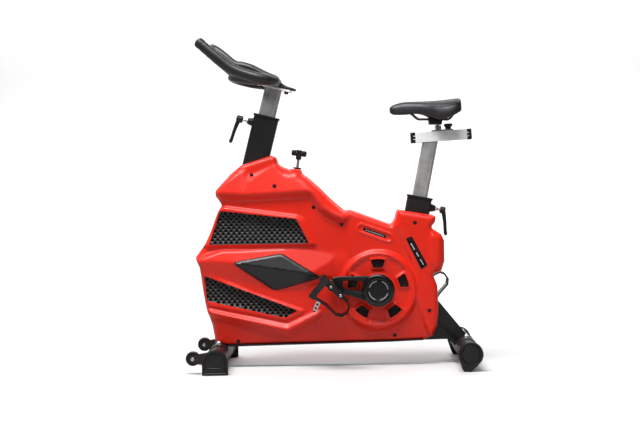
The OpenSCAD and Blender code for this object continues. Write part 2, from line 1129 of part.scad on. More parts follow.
base_beam();
main_tube();
rear_strut();
seat_tube();
head_tube();
fork();
bottom_bracket();
front_stabilizer();
rear_stabilizer();
stabilizer_bolts();
front_feet();
rear_feet();
wheel_bolts();
transport_wheel(-1);  // wheel_left
transport_wheel(1);  // wheel_right
head_collar();
seat_collar();
shroud_left();
shroud_right();
grilles();
diamond_panels();
ring_backings();
shroud_screws();
badges();
knob_grommet();
brake_guide();
brake_rod();
brake_knob();
brake_shoe();
flywheel_axle();
bearings();
flywheel();
flywheel_pulley();
belt();
drive_pulley();
crank_spindle();
crank_arm_left();
crank_arm_right();
crank_caps();
pedal_spindles();
pedal_left();
pedal_right();
toe_cage_left();
toe_cage_right();
toe_strap_left();
toe_strap_right();
handlebar_post();
handlebar_plate();
handlebar_bolts();
handlebar();
front_lever();
seat_post();
seat_rail();
rail_caps();
rear_lever();
seat_carriage();
slider_knob();
saddle();
saddle_rails();
saddle_clamp();
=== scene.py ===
"""Looks of the indoor spin bike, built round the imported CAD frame.

The bike faces -X and its left side faces the camera (-Y). Blender's lengths are metres. The
points of the side view are in millimetres as (x, z), and scaled by MM where a mesh is made.
"""

import itertools
import json
import math

import bmesh
import bpy
import numpy as np
from mathutils import Matrix, Vector
from mathutils.geometry import delaunay_2d_cdt


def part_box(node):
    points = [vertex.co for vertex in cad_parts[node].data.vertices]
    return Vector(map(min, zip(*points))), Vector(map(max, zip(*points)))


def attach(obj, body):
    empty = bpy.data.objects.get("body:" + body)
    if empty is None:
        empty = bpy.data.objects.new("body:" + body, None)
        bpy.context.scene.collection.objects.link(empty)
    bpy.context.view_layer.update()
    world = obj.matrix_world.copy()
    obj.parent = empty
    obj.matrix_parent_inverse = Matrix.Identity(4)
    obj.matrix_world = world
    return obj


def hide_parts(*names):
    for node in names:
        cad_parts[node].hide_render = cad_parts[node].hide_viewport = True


MM = 0.001
SIDES = (("left", -1), ("right", 1))
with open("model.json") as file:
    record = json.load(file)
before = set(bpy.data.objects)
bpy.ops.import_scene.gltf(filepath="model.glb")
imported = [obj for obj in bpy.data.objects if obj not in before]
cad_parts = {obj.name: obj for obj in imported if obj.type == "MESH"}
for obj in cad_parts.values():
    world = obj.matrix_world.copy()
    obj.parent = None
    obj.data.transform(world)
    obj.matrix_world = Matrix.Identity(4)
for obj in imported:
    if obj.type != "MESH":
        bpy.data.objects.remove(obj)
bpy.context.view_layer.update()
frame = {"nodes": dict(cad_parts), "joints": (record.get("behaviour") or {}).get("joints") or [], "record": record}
JOINTS = {j["name"]: j for j in frame["joints"]}
BODY_OF = {n: body for body, nodes in frame["record"]["behaviour"]["bodies"].items() for n in nodes}
SLOT_OF = {s["node"]: s["material_slot"] for s in frame["record"]["subparts"]}


# ---------------------------------------------------------------- materials

def new_material(name, color, roughness, metallic=0.0, coat=0.0, specular=0.5):
    material = bpy.data.materials.new(name)
    material.use_nodes = True
    shader = material.node_tree.nodes["Principled BSDF"]
    for name_of_input, value in (("Base Color", (*color, 1)), ("Roughness", roughness),
                                 ("Metallic", metallic), ("Coat Weight", coat),
                                 ("Coat Roughness", 0.12), ("Specular IOR Level", specular)):
        shader.inputs[name_of_input].default_value = value
    material.diffuse_color = (*color, 1)
    return material


def added(material, kind, **inputs):
    """A new shader node with the given input values."""
    node = material.node_tree.nodes.new("ShaderNode" + kind)
    for name, value in inputs.items():
        node.inputs[name.replace("_", " ")].default_value = value
    return node


def wire(material, output, target):
    """Joins an output to an input, which is named when it is one of the finish's own."""
    if isinstance(target, str):
        target = material.node_tree.nodes["Principled BSDF"].inputs[target]
    material.node_tree.links.new(output, target)


def object_coordinates(material, scale=(1, 1, 1), turn=(0, 0, 0)):
    mapping = added(material, "Mapping")
    mapping.vector_type = "TEXTURE"
    mapping.inputs["Rotation"].default_value = turn
    mapping.inputs["Scale"].default_value = [1 / s for s in scale]
    wire(material, added(material, "TexCoord").outputs["Object"], mapping.inputs["Vector"])
    return mapping.outputs["Vector"]


def noise(material, scale, detail=3, coordinates=None):
    texture = added(material, "TexNoise", Scale=scale, Detail=detail)
    wire(material, coordinates or object_coordinates(material), texture.inputs["Vector"])
    return texture.outputs["Fac"]


def color_between(material, factor, stops, low, high):
    """The base colour runs from low to high as the factor goes from one stop to the other."""
    ramp_node = added(material, "ValToRGB")
    for element, stop, color in zip(ramp_node.color_ramp.elements, stops, (low, high)):
        element.position = stop
        element.color = (*color, 1)
    wire(material, factor, ramp_node.inputs["Fac"])
    wire(material, ramp_node.outputs["Color"], "Base Color")


def vary_color(material, color, amount, scale):
    """Slow mottling of the colour, as in moulded or painted parts."""
    color_between(material, noise(material, scale), (0.3, 0.7), [c * (1 - amount) for c in color],
                  [min(1, c * (1 + amount)) for c in color])


def vary_roughness(material, low, high, scale, coordinates=None):
    spread = added(material, "MapRange", From_Min=0.3, From_Max=0.7, To_Min=low, To_Max=high)
    wire(material, noise(material, scale, 4, coordinates), spread.inputs["Value"])
    wire(material, spread.outputs["Result"], "Roughness")


def add_bump(material, height, strength, distance):
    bump = added(material, "Bump", Strength=strength, Distance=distance)
    wire(material, height, bump.inputs["Height"])
    wire(material, bump.outputs["Normal"], "Normal")


def grain(material, scale):
    """Fine rounded cells, as on textured plastic."""
    cells = added(material, "TexVoronoi", Scale=scale)
    cells.feature = "SMOOTH_F1"
    wire(material, object_coordinates(material), cells.inputs["Vector"])
    return cells.outputs["Distance"]


def red_plastic():
    color = (0.8, 0.019, 0.006)
    material = new_material("red_plastic", color, 0.34, coat=0.12, specular=0.36)
    vary_color(material, color, 0.05, 3)
    vary_roughness(material, 0.33, 0.42, 9)
    add_bump(material, noise(material, 420, 2), 0.08, 0.0004)
    return material


def black_plastic(name, tone, low, high, cells):
    color = (tone, tone, tone * 1.04)
    material = new_material(name, color, low)
    vary_color(material, color, 0.15, 12)
    vary_roughness(material, low, high, 20)
    add_bump(material, grain(material, cells), 0.18, 0.0003)
    return material


def paint(name, color):
    material = new_material(name, color, 0.42, coat=0.08)
    vary_color(material, color, 0.12, 8)
    vary_roughness(material, 0.38, 0.5, 14)
    add_bump(material, noise(material, 260, 2), 0.1, 0.0004)
    return material


def brushed(name, color, tilt, roughness=(0.3, 0.45), metallic=0.7, dark=0.62):
    """Metal drawn along an axis that leans back by tilt: fine lines over slow patches."""
    material = new_material(name, color, roughness[0], metallic=metallic)
    along = object_coordinates(material, (900, 900, 9), (0, tilt, 0))
    patches = added(material, "Math")
    patches.operation = "MULTIPLY"
    lines = added(material, "Math")
    lines.operation = "MULTIPLY_ADD"
    for node in (patches, lines):
        node.inputs[1].default_value = 0.5
    wire(material, noise(material, 26, 4), patches.inputs[0])
    wire(material, noise(material, 1, 3, along), lines.inputs[0])
    wire(material, patches.outputs[0], lines.inputs[2])
    color_between(material, lines.outputs[0], (0.35, 0.68), [c * dark for c in color],
                  [min(1, c * 1.12) for c in color])
    vary_roughness(material, roughness[0], roughness[1], 1, along)
    add_bump(material, noise(material, 1, 3, along), 0.16, 0.0003)
    return material


def plain_metal(name, color, low, high):
    material = new_material(name, color, low, metallic=1.0)
    vary_color(material, color, 0.05, 30)
    vary_roughness(material, low, high, 60)
    return material


def vinyl():
    color = (0.012, 0.012, 0.0155)
    material = new_material("saddle_vinyl", color, 0.42)
    vary_color(material, color, 0.12, 14)
    vary_roughness(material, 0.36, 0.5, 40)
    add_bump(material, grain(material, 900), 0.35, 0.0004)
    return material


def lean(joint):
    """How far a joint's axis leans back from upright."""
    return math.atan2(JOINTS[joint]["axis"][0], JOINTS[joint]["axis"][2])


def joint_at(joint):
    """A joint's place in the side view, in millimetres."""
    return np.array([JOINTS[joint]["pos_m"][0], JOINTS[joint]["pos_m"][2]]) / MM


HEAD_TILT = lean("handlebar_height")
SEAT_TILT = lean("seat_height")

RED = red_plastic()
PLASTIC = black_plastic("black_plastic", 0.007, 0.34, 0.46, 1500)
GLOSS = black_plastic("black_gloss", 0.005, 0.16, 0.24, 2500)
WHEEL = black_plastic("wheel_plastic", 0.006, 0.42, 0.52, 1200)
PVC = black_plastic("grip_pvc", 0.012, 0.36, 0.46, 1100)
RUBBER = black_plastic("rubber", 0.012, 0.55, 0.7, 900)
STRAP = black_plastic("strap_webbing", 0.009, 0.5, 0.62, 1600)
GRILLE = black_plastic("grille_black", 0.026, 0.35, 0.45, 1800)
FRAME_PAINT = paint("frame_paint", (0.006, 0.006, 0.007))
BAR_PAINT = paint("stabilizer_paint", (0.016, 0.006, 0.007))
HEAD_ALU = brushed("brushed_head_post", (0.6, 0.6, 0.59), HEAD_TILT)
SEAT_ALU = brushed("brushed_seat_post", (0.6, 0.6, 0.59), SEAT_TILT)
RAIL_ALU = brushed("satin_rail", (0.93, 0.93, 0.94), math.pi / 2, (0.3, 0.42), 0.08, 0.85)
STEEL = plain_metal("zinc_steel", (0.72, 0.72, 0.73), 0.22, 0.34)
CHROME = plain_metal("chrome", (0.85, 0.85, 0.87), 0.06, 0.12)
IRON = plain_metal("cast_iron", (0.22, 0.22, 0.23), 0.35, 0.5)
CREAM = black_plastic("cream_buckle", 0.55, 0.4, 0.5, 700)
PRINT = black_plastic("pale_print", 0.6, 0.4, 0.5, 900)
GLOSS_PANEL = black_plastic("satin_panel", 0.006, 0.26, 0.34, 2200)
# near-black matte for the sheets behind the grilles and the crank windows: painted shade standing in for the dark
# inside of the shell
SHADE_SHEET = black_plastic("painted_shade_black", 0.006, 0.8, 0.9, 900)
VINYL = vinyl()

SLOT_LOOK = {
    "frame_paint": FRAME_PAINT, "stabilizer_paint": BAR_PAINT, "shroud_red": RED,
    "black_plastic": PLASTIC, "black_gloss": GLOSS, "grille_black": GRILLE,
    "brushed_alu": HEAD_ALU, "chrome": CHROME, "steel": STEEL, "cast_iron": IRON,
    "pulley_metal": STEEL, "belt_rubber": RUBBER, "wheel_plastic": WHEEL, "grip_pvc": PVC,
    "strap": STRAP, "saddle_vinyl": VINYL,
}


# ---------------------------------------------------------------- meshes

def shade(obj, angle=35):
    for polygon in obj.data.polygons:
        polygon.use_smooth = True
    obj.data.set_sharp_from_angle(angle=math.radians(angle))
    return obj


def linked(name, data):
    obj = bpy.data.objects.new(name, data)
    bpy.context.scene.collection.objects.link(obj)
    return obj


def wear(mesh, material):
    mesh.materials.clear()
    mesh.materials.append(material)


def add_mesh(name, verts, faces, material, angle=35):
    mesh = bpy.data.meshes.new(name)
    mesh.from_pydata([tuple(v) for v in verts], [], [tuple(f) for f in faces])
    mesh.validate()
    mesh.materials.append(material)
    return shade(linked(name, mesh), angle)


def as_modified(obj):
    """A new mesh: the object's own with its modifiers applied."""
    depsgraph = bpy.context.evaluated_depsgraph_get()
    return bpy.data.meshes.new_from_object(obj.evaluated_get(depsgraph))


def stand_for(obj, node, *more):
    """The piece rides on the node's body and is shown in its place."""
    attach(obj, BODY_OF[node])
    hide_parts(node, *more)
    return obj


def trim_on(obj, node, slot=None):
    """A detail that rides with a node but replaces nothing."""
    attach(obj, BODY_OF[node])
    slot or SLOT_OF[node]
    return obj


def softened(node, width, material, segments=2):
    """A CAD node's own shape with its edges rounded, as moulding and painting leave them."""
    mesh = frame["nodes"][node].data.copy()
    bm = bmesh.new()
    bm.from_mesh(mesh)
    bmesh.ops.remove_doubles(bm, verts=bm.verts, dist=1e-5)
    bmesh.ops.dissolve_limit(bm, angle_limit=math.radians(1), verts=bm.verts, edges=bm.edges)
    bm.to_mesh(mesh)
    bm.free()
    wear(mesh, material)
    obj = linked(node + "_look", mesh)
    bevel = obj.modifiers.new("edges", "BEVEL")
    bevel.width = width * MM
    bevel.segments = segments
    bevel.limit_method = "ANGLE"
    bevel.angle_limit = math.radians(32)
    bevel.use_clamp_overlap = True
    bevel.harden_normals = False
    shade(obj, 40)
    return stand_for(obj, node)


# ---------------------------------------------------------------- stage

FLOOR_FRONT, WALL_AT, WALL_TOP, HALF_STAGE, BEND = -7, 5, 6, 9, 1.5
PAPER, PAPER_BOUNCE = 0.8, 0.45


def studio():
    world = bpy.data.worlds.new("studio")
    world.use_nodes = True
    background = world.node_tree.nodes["Background"]
    background.inputs["Color"].default_value = (1, 1, 1, 1)
    background.inputs["Strength"].default_value = 0.08
    bpy.context.scene.world = world

    profile = [(FLOOR_FRONT, 0), (WALL_AT - BEND, 0)]
    for turn in np.linspace(0, math.pi / 2, 25)[1:]:
        profile.append((WALL_AT - BEND + BEND * math.sin(turn), BEND - BEND * math.cos(turn)))
    profile.append((WALL_AT, WALL_TOP))
    verts = [(x, y, z) for y, z in profile for x in (-HALF_STAGE, HALF_STAGE)]
    faces = [(2 * i, 2 * i + 1, 2 * i + 3, 2 * i + 2) for i in range(len(profile) - 1)]
    paper = new_material("studio_paper", (PAPER, PAPER, PAPER), 0.8)
    dim_to_the_bike(paper)
    clear_from_behind(paper)
    add_mesh("studio_floor", verts, faces, paper, 60)


def dim_to_the_bike(material):
    """Paper that looks white but sends little light up under the shell."""
    mix = added(material, "Mix")
    mix.data_type = "RGBA"
    mix.inputs["A"].default_value = (PAPER_BOUNCE, PAPER_BOUNCE, PAPER_BOUNCE, 1)
    mix.inputs["B"].default_value = (PAPER, PAPER, PAPER, 1)
    wire(material, added(material, "LightPath").outputs["Is Camera Ray"], mix.inputs["Factor"])
    wire(material, mix.outputs["Result"], "Base Color")


def clear_from_behind(material):
    """A camera that stands behind the backdrop sees through it."""
    nodes = material.node_tree.nodes
    mix = added(material, "MixShader")
    wire(material, added(material, "NewGeometry").outputs["Backfacing"], mix.inputs[0])
    wire(material, nodes["Principled BSDF"].outputs[0], mix.inputs[1])
    wire(material, added(material, "BsdfTransparent").outputs[0], mix.inputs[2])
    wire(material, mix.outputs[0], nodes["Material Output"].inputs["Surface"])


def area_light(name, at, target, size, power):
    data = bpy.data.lights.new(name, "AREA")
    data.shape = "RECTANGLE"
    data.size, data.size_y = size
    data.energy = power
    light = linked(name, data)
    light.location = at
    light.rotation_euler = (Vector(target) - Vector(at)).to_track_quat("-Z", "Y").to_euler()


def lights():
    area_light("key_overhead", (-0.5, -1.3, 3.2), (0, 0, 0.4), (2.6, 1.2), 150)
    area_light("fill_front", (0.6, -4.6, 3.0), (0, 0, 0.4), (2.4, 1.0), 20)
    area_light("rim_left", (-3.0, 0.6, 1.6), (0, 0, 0.6), (1.2, 1.6), 8)
    area_light("wash_back", (0, 3.0, 4.2), (0, 4.6, 0.4), (8, 1.5), 300)


CAMERA_AT = (0.036, -5.2, 0.7077)
LENS, SENSOR = 78.4125, 36
ACROSS, UP, ROLL = (math.radians(turn) for turn in (0.863071, 1.582014, 0.953))


def camera():
    """Looks nearly along +Y, a direction that lies ACROSS to the right and UP in the view."""
    see_y = Vector((math.tan(ACROSS), math.tan(UP), -1)).normalized()
    flat_x = Vector((math.cos(ROLL), math.sin(ROLL), 0))
    see_x = (flat_x - flat_x.dot(see_y) * see_y).normalized()
    see_z = see_x.cross(see_y)
    data = bpy.data.cameras.new("camera")
    data.sensor_width = SENSOR
    data.lens = LENS
    data.clip_end = 50
    obj = linked("camera", data)
    obj.matrix_world = Matrix.Translation(CAMERA_AT) @ Matrix((see_x, see_y, see_z)).to_4x4()
    bpy.context.scene.camera = obj
    bpy.context.scene.view_settings.view_transform = "Standard"


# ---------------------------------------------------------------- flat shapes, in millimetres

def rounded_loop(points, radius, step=5.0):
    """A closed outline with each corner rounded, as points about step apart."""
    out = []
    count = len(points)
    for i in range(count):
        before, corner, after = (np.array(points[(i + k) % count], float) for k in (-1, 0, 1))
        to_before, to_after = before - corner, after - corner
        a, b = np.linalg.norm(to_before), np.linalg.norm(to_after)
        to_before, to_after = to_before / a, to_after / b
        half = math.acos(max(-1.0, min(1.0, float(to_before @ to_after)))) / 2
        cut = min(radius / max(math.tan(half), 1e-6), 0.45 * a, 0.45 * b)
        p0, p2 = corner + to_before * cut, corner + to_after * cut
        bends = max(2, int(math.ceil((math.pi - 2 * half) / math.radians(12))))
        for k in range(bends + 1):
            t = k / bends
            out.append((1 - t) ** 2 * p0 + 2 * t * (1 - t) * corner + t * t * p2)
    return resample(np.array(out), step)


def resample(loop, step):
    """A closed loop as evenly spaced points."""
    return spaced(np.vstack([loop, loop[:1]]), step, 8, False)


def densify(line, step):
    """An open line as evenly spaced points, both ends included."""
    return spaced(np.array(line, float), step, 2, True)


def spaced(line, step, fewest, with_end):
    run = np.concatenate([[0], np.cumsum(np.linalg.norm(np.diff(line, axis=0), axis=1))])
    count = max(fewest, int(round(run[-1] / step)) + int(with_end))
    at = np.linspace(0, run[-1], count, endpoint=with_end)
    return np.column_stack([np.interp(at, run, line[:, 0]), np.interp(at, run, line[:, 1])])


def line_distance(points, line, closed=False):
    """Signed distance of each point to a line of segments: positive on the line's left."""
    line = np.array(line, float)
    a = line if closed else line[:-1]
    b = np.roll(line, -1, axis=0) if closed else line[1:]
    best = np.full(len(points), 1e9)
    sign = np.ones(len(points))
    for p, q in zip(a, b):
        edge = q - p
        rel = points - p
        t = np.clip(rel @ edge / (edge @ edge), 0, 1)
        gap = rel - t[:, None] * edge
        dist = np.hypot(gap[:, 0], gap[:, 1])
        cross = edge[0] * rel[:, 1] - edge[1] * rel[:, 0]
        nearer = dist < best - 1e-9
        tie = np.abs(dist - best) <= 1e-9
        stronger = tie & (np.abs(cross) / np.linalg.norm(edge) > 0) & (t * (1 - t) > 0)
        pick = nearer | stronger
        best[pick] = dist[pick]
        sign[pick] = np.where(cross[pick] >= 0, 1, -1)
    return best * sign


def inside(points, loop):
    """True for each point within the closed loop."""
    x, y = points[:, 0], points[:, 1]
    within = np.zeros(len(points), bool)
    for (x0, y0), (x1, y1) in zip(loop, np.roll(loop, -1, axis=0)):
        if y0 == y1:
            continue
        crosses = (y0 > y) != (y1 > y)
        within ^= crosses & (x < (x1 - x0) * (y - y0) / (y1 - y0) + x0)
    return within


def depth_in(points, loop):
    """Distance to the loop's edge, positive within it."""
    loop = np.array(loop, float)
    dist = np.abs(line_distance(points, loop, closed=True))
    return np.where(inside(points, loop), dist, -dist)


def circle(at, radius, count):
    turn = np.linspace(0, 2 * math.pi, count, endpoint=False)
    return np.column_stack([at[0] + radius * np.cos(turn), at[1] + radius * np.sin(turn)])


def triangulate(outline, holes, lines, dots, step):
    """Triangles over the outline less the holes, with edges along every loop and line."""
    sets = [np.array(outline)] + [np.array(h) for h in holes]
    edges, points, start = [], [], 0
    for loop in sets:
        points.append(loop)
        edges += [(start + i, start + (i + 1) % len(loop)) for i in range(len(loop))]
        start += len(loop)
    for line in lines:
        points.append(line)
        edges += [(start + i, start + i + 1) for i in range(len(line) - 1)]
        start += len(line)
    fixed = np.vstack(points)
    low, high = outline.min(0), outline.max(0)
    xs = np.arange(low[0], high[0], step)
    zs = np.arange(low[1], high[1], step * 0.866)
    grid = np.array([(x + (step / 2 if j % 2 else 0), z) for j, z in enumerate(zs) for x in xs])
    loose = np.vstack([grid, *dots])
    keep = depth_in(loose, outline) > step * 0.4
    for hole in holes:
        keep &= depth_in(loose, hole) < -step * 0.35
    loose = loose[keep]
    cells = {}
    for p in np.vstack([fixed, *dots]):
        cells.setdefault((int(p[0] // step), int(p[1] // step)), []).append(p)
    dotted = {tuple(np.round(p, 4)) for d in dots for p in d}
    chosen = []
    for p in loose:
        if tuple(np.round(p, 4)) in dotted:
            chosen.append(p)
            continue
        i, j = int(p[0] // step), int(p[1] // step)
        near = [q for a in (-1, 0, 1) for b in (-1, 0, 1) for q in cells.get((i + a, j + b), ())]
        if all((p[0] - q[0]) ** 2 + (p[1] - q[1]) ** 2 > (0.55 * step) ** 2 for q in near):
            chosen.append(p)
    everything = np.vstack([fixed, np.array(chosen)])
    result = delaunay_2d_cdt([Vector(p) for p in everything], edges, [], 0, 1e-4)
    verts = np.array([tuple(v) for v in result[0]])
    tris = np.array(result[2])
    middle = verts[tris].mean(axis=1)
    keep = inside(middle, np.array(outline))
    for hole in holes:
        keep &= ~inside(middle, np.array(hole))
    tris = tris[keep]
    e, f = verts[tris[:, 1]] - verts[tris[:, 0]], verts[tris[:, 2]] - verts[tris[:, 0]]
    tris = tris[np.abs(e[:, 0] * f[:, 1] - e[:, 1] * f[:, 0]) > 0.1]
    used = np.unique(tris)
    renumber = np.full(len(verts), -1)
    renumber[used] = np.arange(len(used))
    return verts[used], renumber[tris]


def as_faces(tris):
    return [tuple(t) for t in tris.tolist()]


def set_out(verts, level):
    """Points of the side view, each at its own distance to the left of the middle plane."""
    return [(x, -h, z) for (x, z), h in zip(verts, level)]


def in_plane(at):
    """A point or direction of the side view as one in space."""
    return Vector((at[0], 0, at[1]))


def boundary_loops(tris):
    """The open edges of a triangle mesh, chained into loops in face order."""
    directed = {}
    for a, b, c in tris:
        for p, q in ((a, b), (b, c), (c, a)):
            directed[(int(p), int(q))] = True
    follow = {p: q for p, q in directed if (q, p) not in directed}
    loops = []
    while follow:
        start, at = next(iter(follow.items()))
        loop = [start]
        del follow[start]
        while at != start and at in follow:
            loop.append(at)
            at = follow.pop(at)
        loops.append(loop)
    return loops


def smooth_heights(heights, tris, rounds, held=None):
    """Averages each height with its neighbours', which rounds the creases off."""
    count = len(heights)
    pairs = np.vstack([tris[:, [0, 1]], tris[:, [1, 2]], tris[:, [2, 0]]])
    pairs = np.unique(np.sort(pairs, axis=1), axis=0)
    degree = np.bincount(pairs.ravel(), minlength=count)
    for _ in range(rounds):
        total = np.bincount(pairs[:, 0], heights[pairs[:, 1]], count)
        total += np.bincount(pairs[:, 1], heights[pairs[:, 0]], count)
        blended = 0.4 * heights + 0.6 * total / np.maximum(degree, 1)
        heights = blended if held is None else np.where(held, heights, blended)
    return heights


def ramp(t):
    t = np.clip(t, 0, 1)
    return t * t * (3 - 2 * t)


def fillet_drop(depth, radius):
    """How far a face lies below its flat height at this depth from an edge rounded by radius."""
    t = np.clip(1 - np.maximum(depth, 0) / radius, 0, 1)
    return radius * (1 - np.sqrt(1 - t * t))


def edge_rows(loop, depths):
    """Rows of points beside a closed loop, on its inner side for positive depths."""
    after = np.roll(loop, -1, axis=0) - np.roll(loop, 1, axis=0)
    normal = np.column_stack([-after[:, 1], after[:, 0]]) / np.linalg.norm(after, axis=1)[:, None]
    rows = []
    for depth in depths:
        row = loop + normal * depth
        rows.append(row[np.abs(np.abs(depth_in(row, loop)) - abs(depth)) < 0.12 * abs(depth) + 0.1])
    return rows


# ---------------------------------------------------------------- ways to make a piece

LEFT = (lambda p: p, False)
RIGHT = (lambda p: p * np.array([1, -1, 1]), True)


def across_crank(p):
    """The left crank's place turned half a turn about the crank, and over to the right side."""
    return np.column_stack([2 * CRANK[0] - p[:, 0], -p[:, 1], 2 * CRANK[1] - p[:, 2]])


OPPOSITE = (across_crank, True)


def placed_mesh(name, points, faces, side, material, angle=35):
    """Points in millimetres on the left, moved by side, which also says whether it mirrors them."""
    move, mirrored = side
    facing = [f[::-1] for f in faces] if mirrored else faces
    return add_mesh(name, move(np.array(points, float)) * MM, facing, material, angle)


def relief(name, outline, holes, height, back, fillet, material, side=LEFT, step=6.0, lines=()):
    """A closed plate seen from the side: its face at height(points), rounded at every edge."""
    depths = [fillet * f for f in (0.07, 0.29, 0.62, 1.0)]
    dots = edge_rows(outline, depths)
    for hole in holes:
        dots += edge_rows(hole, [-d for d in depths])
    verts, tris = triangulate(outline, holes, list(lines), dots, step)
    depth = depth_in(verts, outline)
    for hole in holes:
        depth = np.minimum(depth, -depth_in(verts, hole))
    level = height(verts) - fillet_drop(depth, fillet)
    behind = back(verts) if callable(back) else np.full(len(verts), float(back))
    count = len(verts)
    points = set_out(verts, level) + set_out(verts, behind)
    faces = as_faces(tris)
    faces += [tuple(i + count for i in reversed(f)) for f in as_faces(tris)]
    for loop in boundary_loops(tris):
        for a, b in zip(loop, loop[1:] + loop[:1]):
            faces.append((b, a, a + count, b + count))
    return placed_mesh(name, points, faces, side, material)


def perpendicular(direction):
    d = Vector(direction).normalized()
    first = d.cross(Vector((0, 1, 0)))
    if first.length < 0.2:
        first = d.cross(Vector((1, 0, 0)))
    first.normalize()
    return d, first, d.cross(first)


def turned(name, at, direction, profile, material, sides=48, angle=35):
    """A turned part: profile is (radius, place along direction from at)."""
    d, u, v = perpendicular(direction)
    centre = Vector(at)
    points, faces, rings = [], [], []
    for radius, along in profile:
        base = centre + d * along
        if radius == 0:
            rings.append([len(points)])
            points.append(tuple(base))
            continue
        rings.append(list(range(len(points), len(points) + sides)))
        for k in range(sides):
            a = 2 * math.pi * k / sides
            points.append(tuple(base + (u * math.cos(a) + v * math.sin(a)) * radius))
    for one, two in zip(rings, rings[1:]):
        for k in range(sides):
            a, b = one[k % len(one)], one[(k + 1) % len(one)]
            c, e = two[(k + 1) % len(two)], two[k % len(two)]
            faces.append(tuple(dict.fromkeys((a, b, c, e))))
    if len(rings[0]) > 1 and rings[0] != rings[-1]:
        faces.append(tuple(reversed(rings[0])))
    if len(rings[-1]) > 1:
        faces.append(tuple(rings[-1]))
    return solid(name, [(points, faces)], material, angle)


def face_outwards(obj):
    bm = bmesh.new()
    bm.from_mesh(obj.data)
    bmesh.ops.recalc_face_normals(bm, faces=bm.faces)
    bm.to_mesh(obj.data)
    bm.free()
    return obj


def solid(name, parts, material, angle=35, side=LEFT):
    """Closed shapes gathered into one piece, with every face turned outwards."""
    return face_outwards(placed_mesh(name, *gathered(parts), side, material, angle))


def ring_joins(count, rows):
    """Faces between closed rows of count points each."""
    return [(count * i + k, count * i + (k + 1) % count, count * (i + 1) + (k + 1) % count,
             count * (i + 1) + k) for i in range(rows - 1) for k in range(count)]


def capped(count, rows):
    """The faces between rows of points, and one over the first and over the last row."""
    last = count * (rows - 1)
    return ring_joins(count, rows) + [tuple(range(count)), tuple(range(last, last + count))]


BOX_FACES = ((0, 1, 3, 2), (4, 6, 7, 5), (0, 4, 5, 1), (2, 3, 7, 6), (0, 2, 6, 4), (1, 5, 7, 3))


def box(low, high, place):
    """A box between two corners, each corner moved by place."""
    return [place(corner) for corner in itertools.product(*zip(low, high))], BOX_FACES


def dash(centre, along, half_long, half_wide, near, far):
    """A thin printed bar on the left side, between two distances from the middle plane."""
    across = np.array([-along[1], along[0]])
    corners = [centre + a * half_long * along + b * half_wide * across
               for a, b in ((-1, -1), (1, -1), (1, 1), (-1, 1))]
    return [(x, -y, z) for y in (near, far) for x, z in corners], capped(4, 2)


def eased(profile, radius):
    """The open profile with its inner corners rounded."""
    out = [tuple(profile[0])]
    for before, corner, after in zip(profile, profile[1:], profile[2:]):
        b, c, a = (np.array(q, float) for q in (before, corner, after))
        cut_b = min(radius, 0.45 * np.linalg.norm(b - c))
        cut_a = min(radius, 0.45 * np.linalg.norm(a - c))
        p0 = c + (b - c) / np.linalg.norm(b - c) * cut_b
        p2 = c + (a - c) / np.linalg.norm(a - c) * cut_a
        for t in (0, 0.25, 0.5, 0.75, 1):
            out.append(tuple((1 - t) ** 2 * p0 + 2 * t * (1 - t) * c + t * t * p2))
    out.append(tuple(profile[-1]))
    return out


def spline(path, per=6):
    """Catmull-Rom through the path's points; each may carry a radius as its last value."""
    path = [np.array(p, float) for p in path]
    ends = [2 * path[0] - path[1]] + path + [2 * path[-1] - path[-2]]
    out = []
    for i in range(1, len(ends) - 2):
        a, b, c, d = ends[i - 1:i + 3]
        for k in range(per):
            t = k / per
            out.append(0.5 * (2 * b + (c - a) * t + (2 * a - 5 * b + 4 * c - d) * t * t
                              + (3 * b - a - 3 * c + d) * t ** 3))
    out.append(path[-1])
    return out


def swept(path, sides=20, per=6):
    """Points and faces of a round bar along (x, y, z, radius) points, with domed ends."""
    line = spline(path, per)
    first, last = line[0], line[-1]
    into = (line[1] - first)[:3] / np.linalg.norm((line[1] - first)[:3])
    out_of = (last - line[-2])[:3] / np.linalg.norm((last - line[-2])[:3])
    start = [np.append(first[:3] - into * first[3] * s, first[3] * c)
             for s, c in ((0.97, 0.25), (0.7, 0.7))]
    end = [np.append(last[:3] + out_of * last[3] * s, last[3] * c)
           for s, c in ((0.7, 0.7), (0.97, 0.25))]
    line = start + line + end
    points, side = [], None
    for i, p in enumerate(line):
        along = (line[min(i + 1, len(line) - 1)] - line[max(i - 1, 0)])[:3]
        along = Vector(along).normalized()
        if side is None:
            side = along.cross(Vector((0, 1, 0)))
            if side.length < 0.1:
                side = along.cross(Vector((0, 0, 1)))
        side = (side - side.dot(along) * along).normalized()
        up = along.cross(side)
        for k in range(sides):
            a = 2 * math.pi * k / sides
            offset = (side * math.cos(a) + up * math.sin(a)) * p[3]
            points.append((p[0] + offset[0], p[1] + offset[1], p[2] + offset[2]))
    faces = ring_joins(sides, len(line))
    faces.append(tuple(reversed(range(sides))))
    faces.append(tuple(range((len(line) - 1) * sides, len(line) * sides)))
    return points, faces


def gathered(parts):
    """Several (points, faces) as one."""
    points, faces = [], []
    for some, joins in parts:
        start = len(points)
        points += list(some)
        faces += [tuple(i + start for i in f) for f in joins]
    return points, faces


def bar(name, path, material, **how):
    return solid(name, [swept(path, **how)], material, 60)


def welded(obj, voxel, smoothing):
    """Joins overlapping bars into one skin and smooths it."""
    remesh = obj.modifiers.new("skin", "REMESH")
    remesh.mode = "VOXEL"
    remesh.voxel_size = voxel * MM
    soft = obj.modifiers.new("soft", "SMOOTH")
    soft.factor = 0.5
    soft.iterations = smoothing
    material = obj.data.materials[0]
    mesh = as_modified(obj)
    obj.modifiers.clear()
    obj.data = mesh
    wear(mesh, material)
    return shade(obj, 60)


def tilted(at, tilt, x, z):
    """A point given on an axis that leans back by tilt, as (x, z) of the side view."""
    return (at[0] + x * math.cos(tilt) + z * math.sin(tilt),
            at[1] - x * math.sin(tilt) + z * math.cos(tilt))


# ---------------------------------------------------------------- shroud

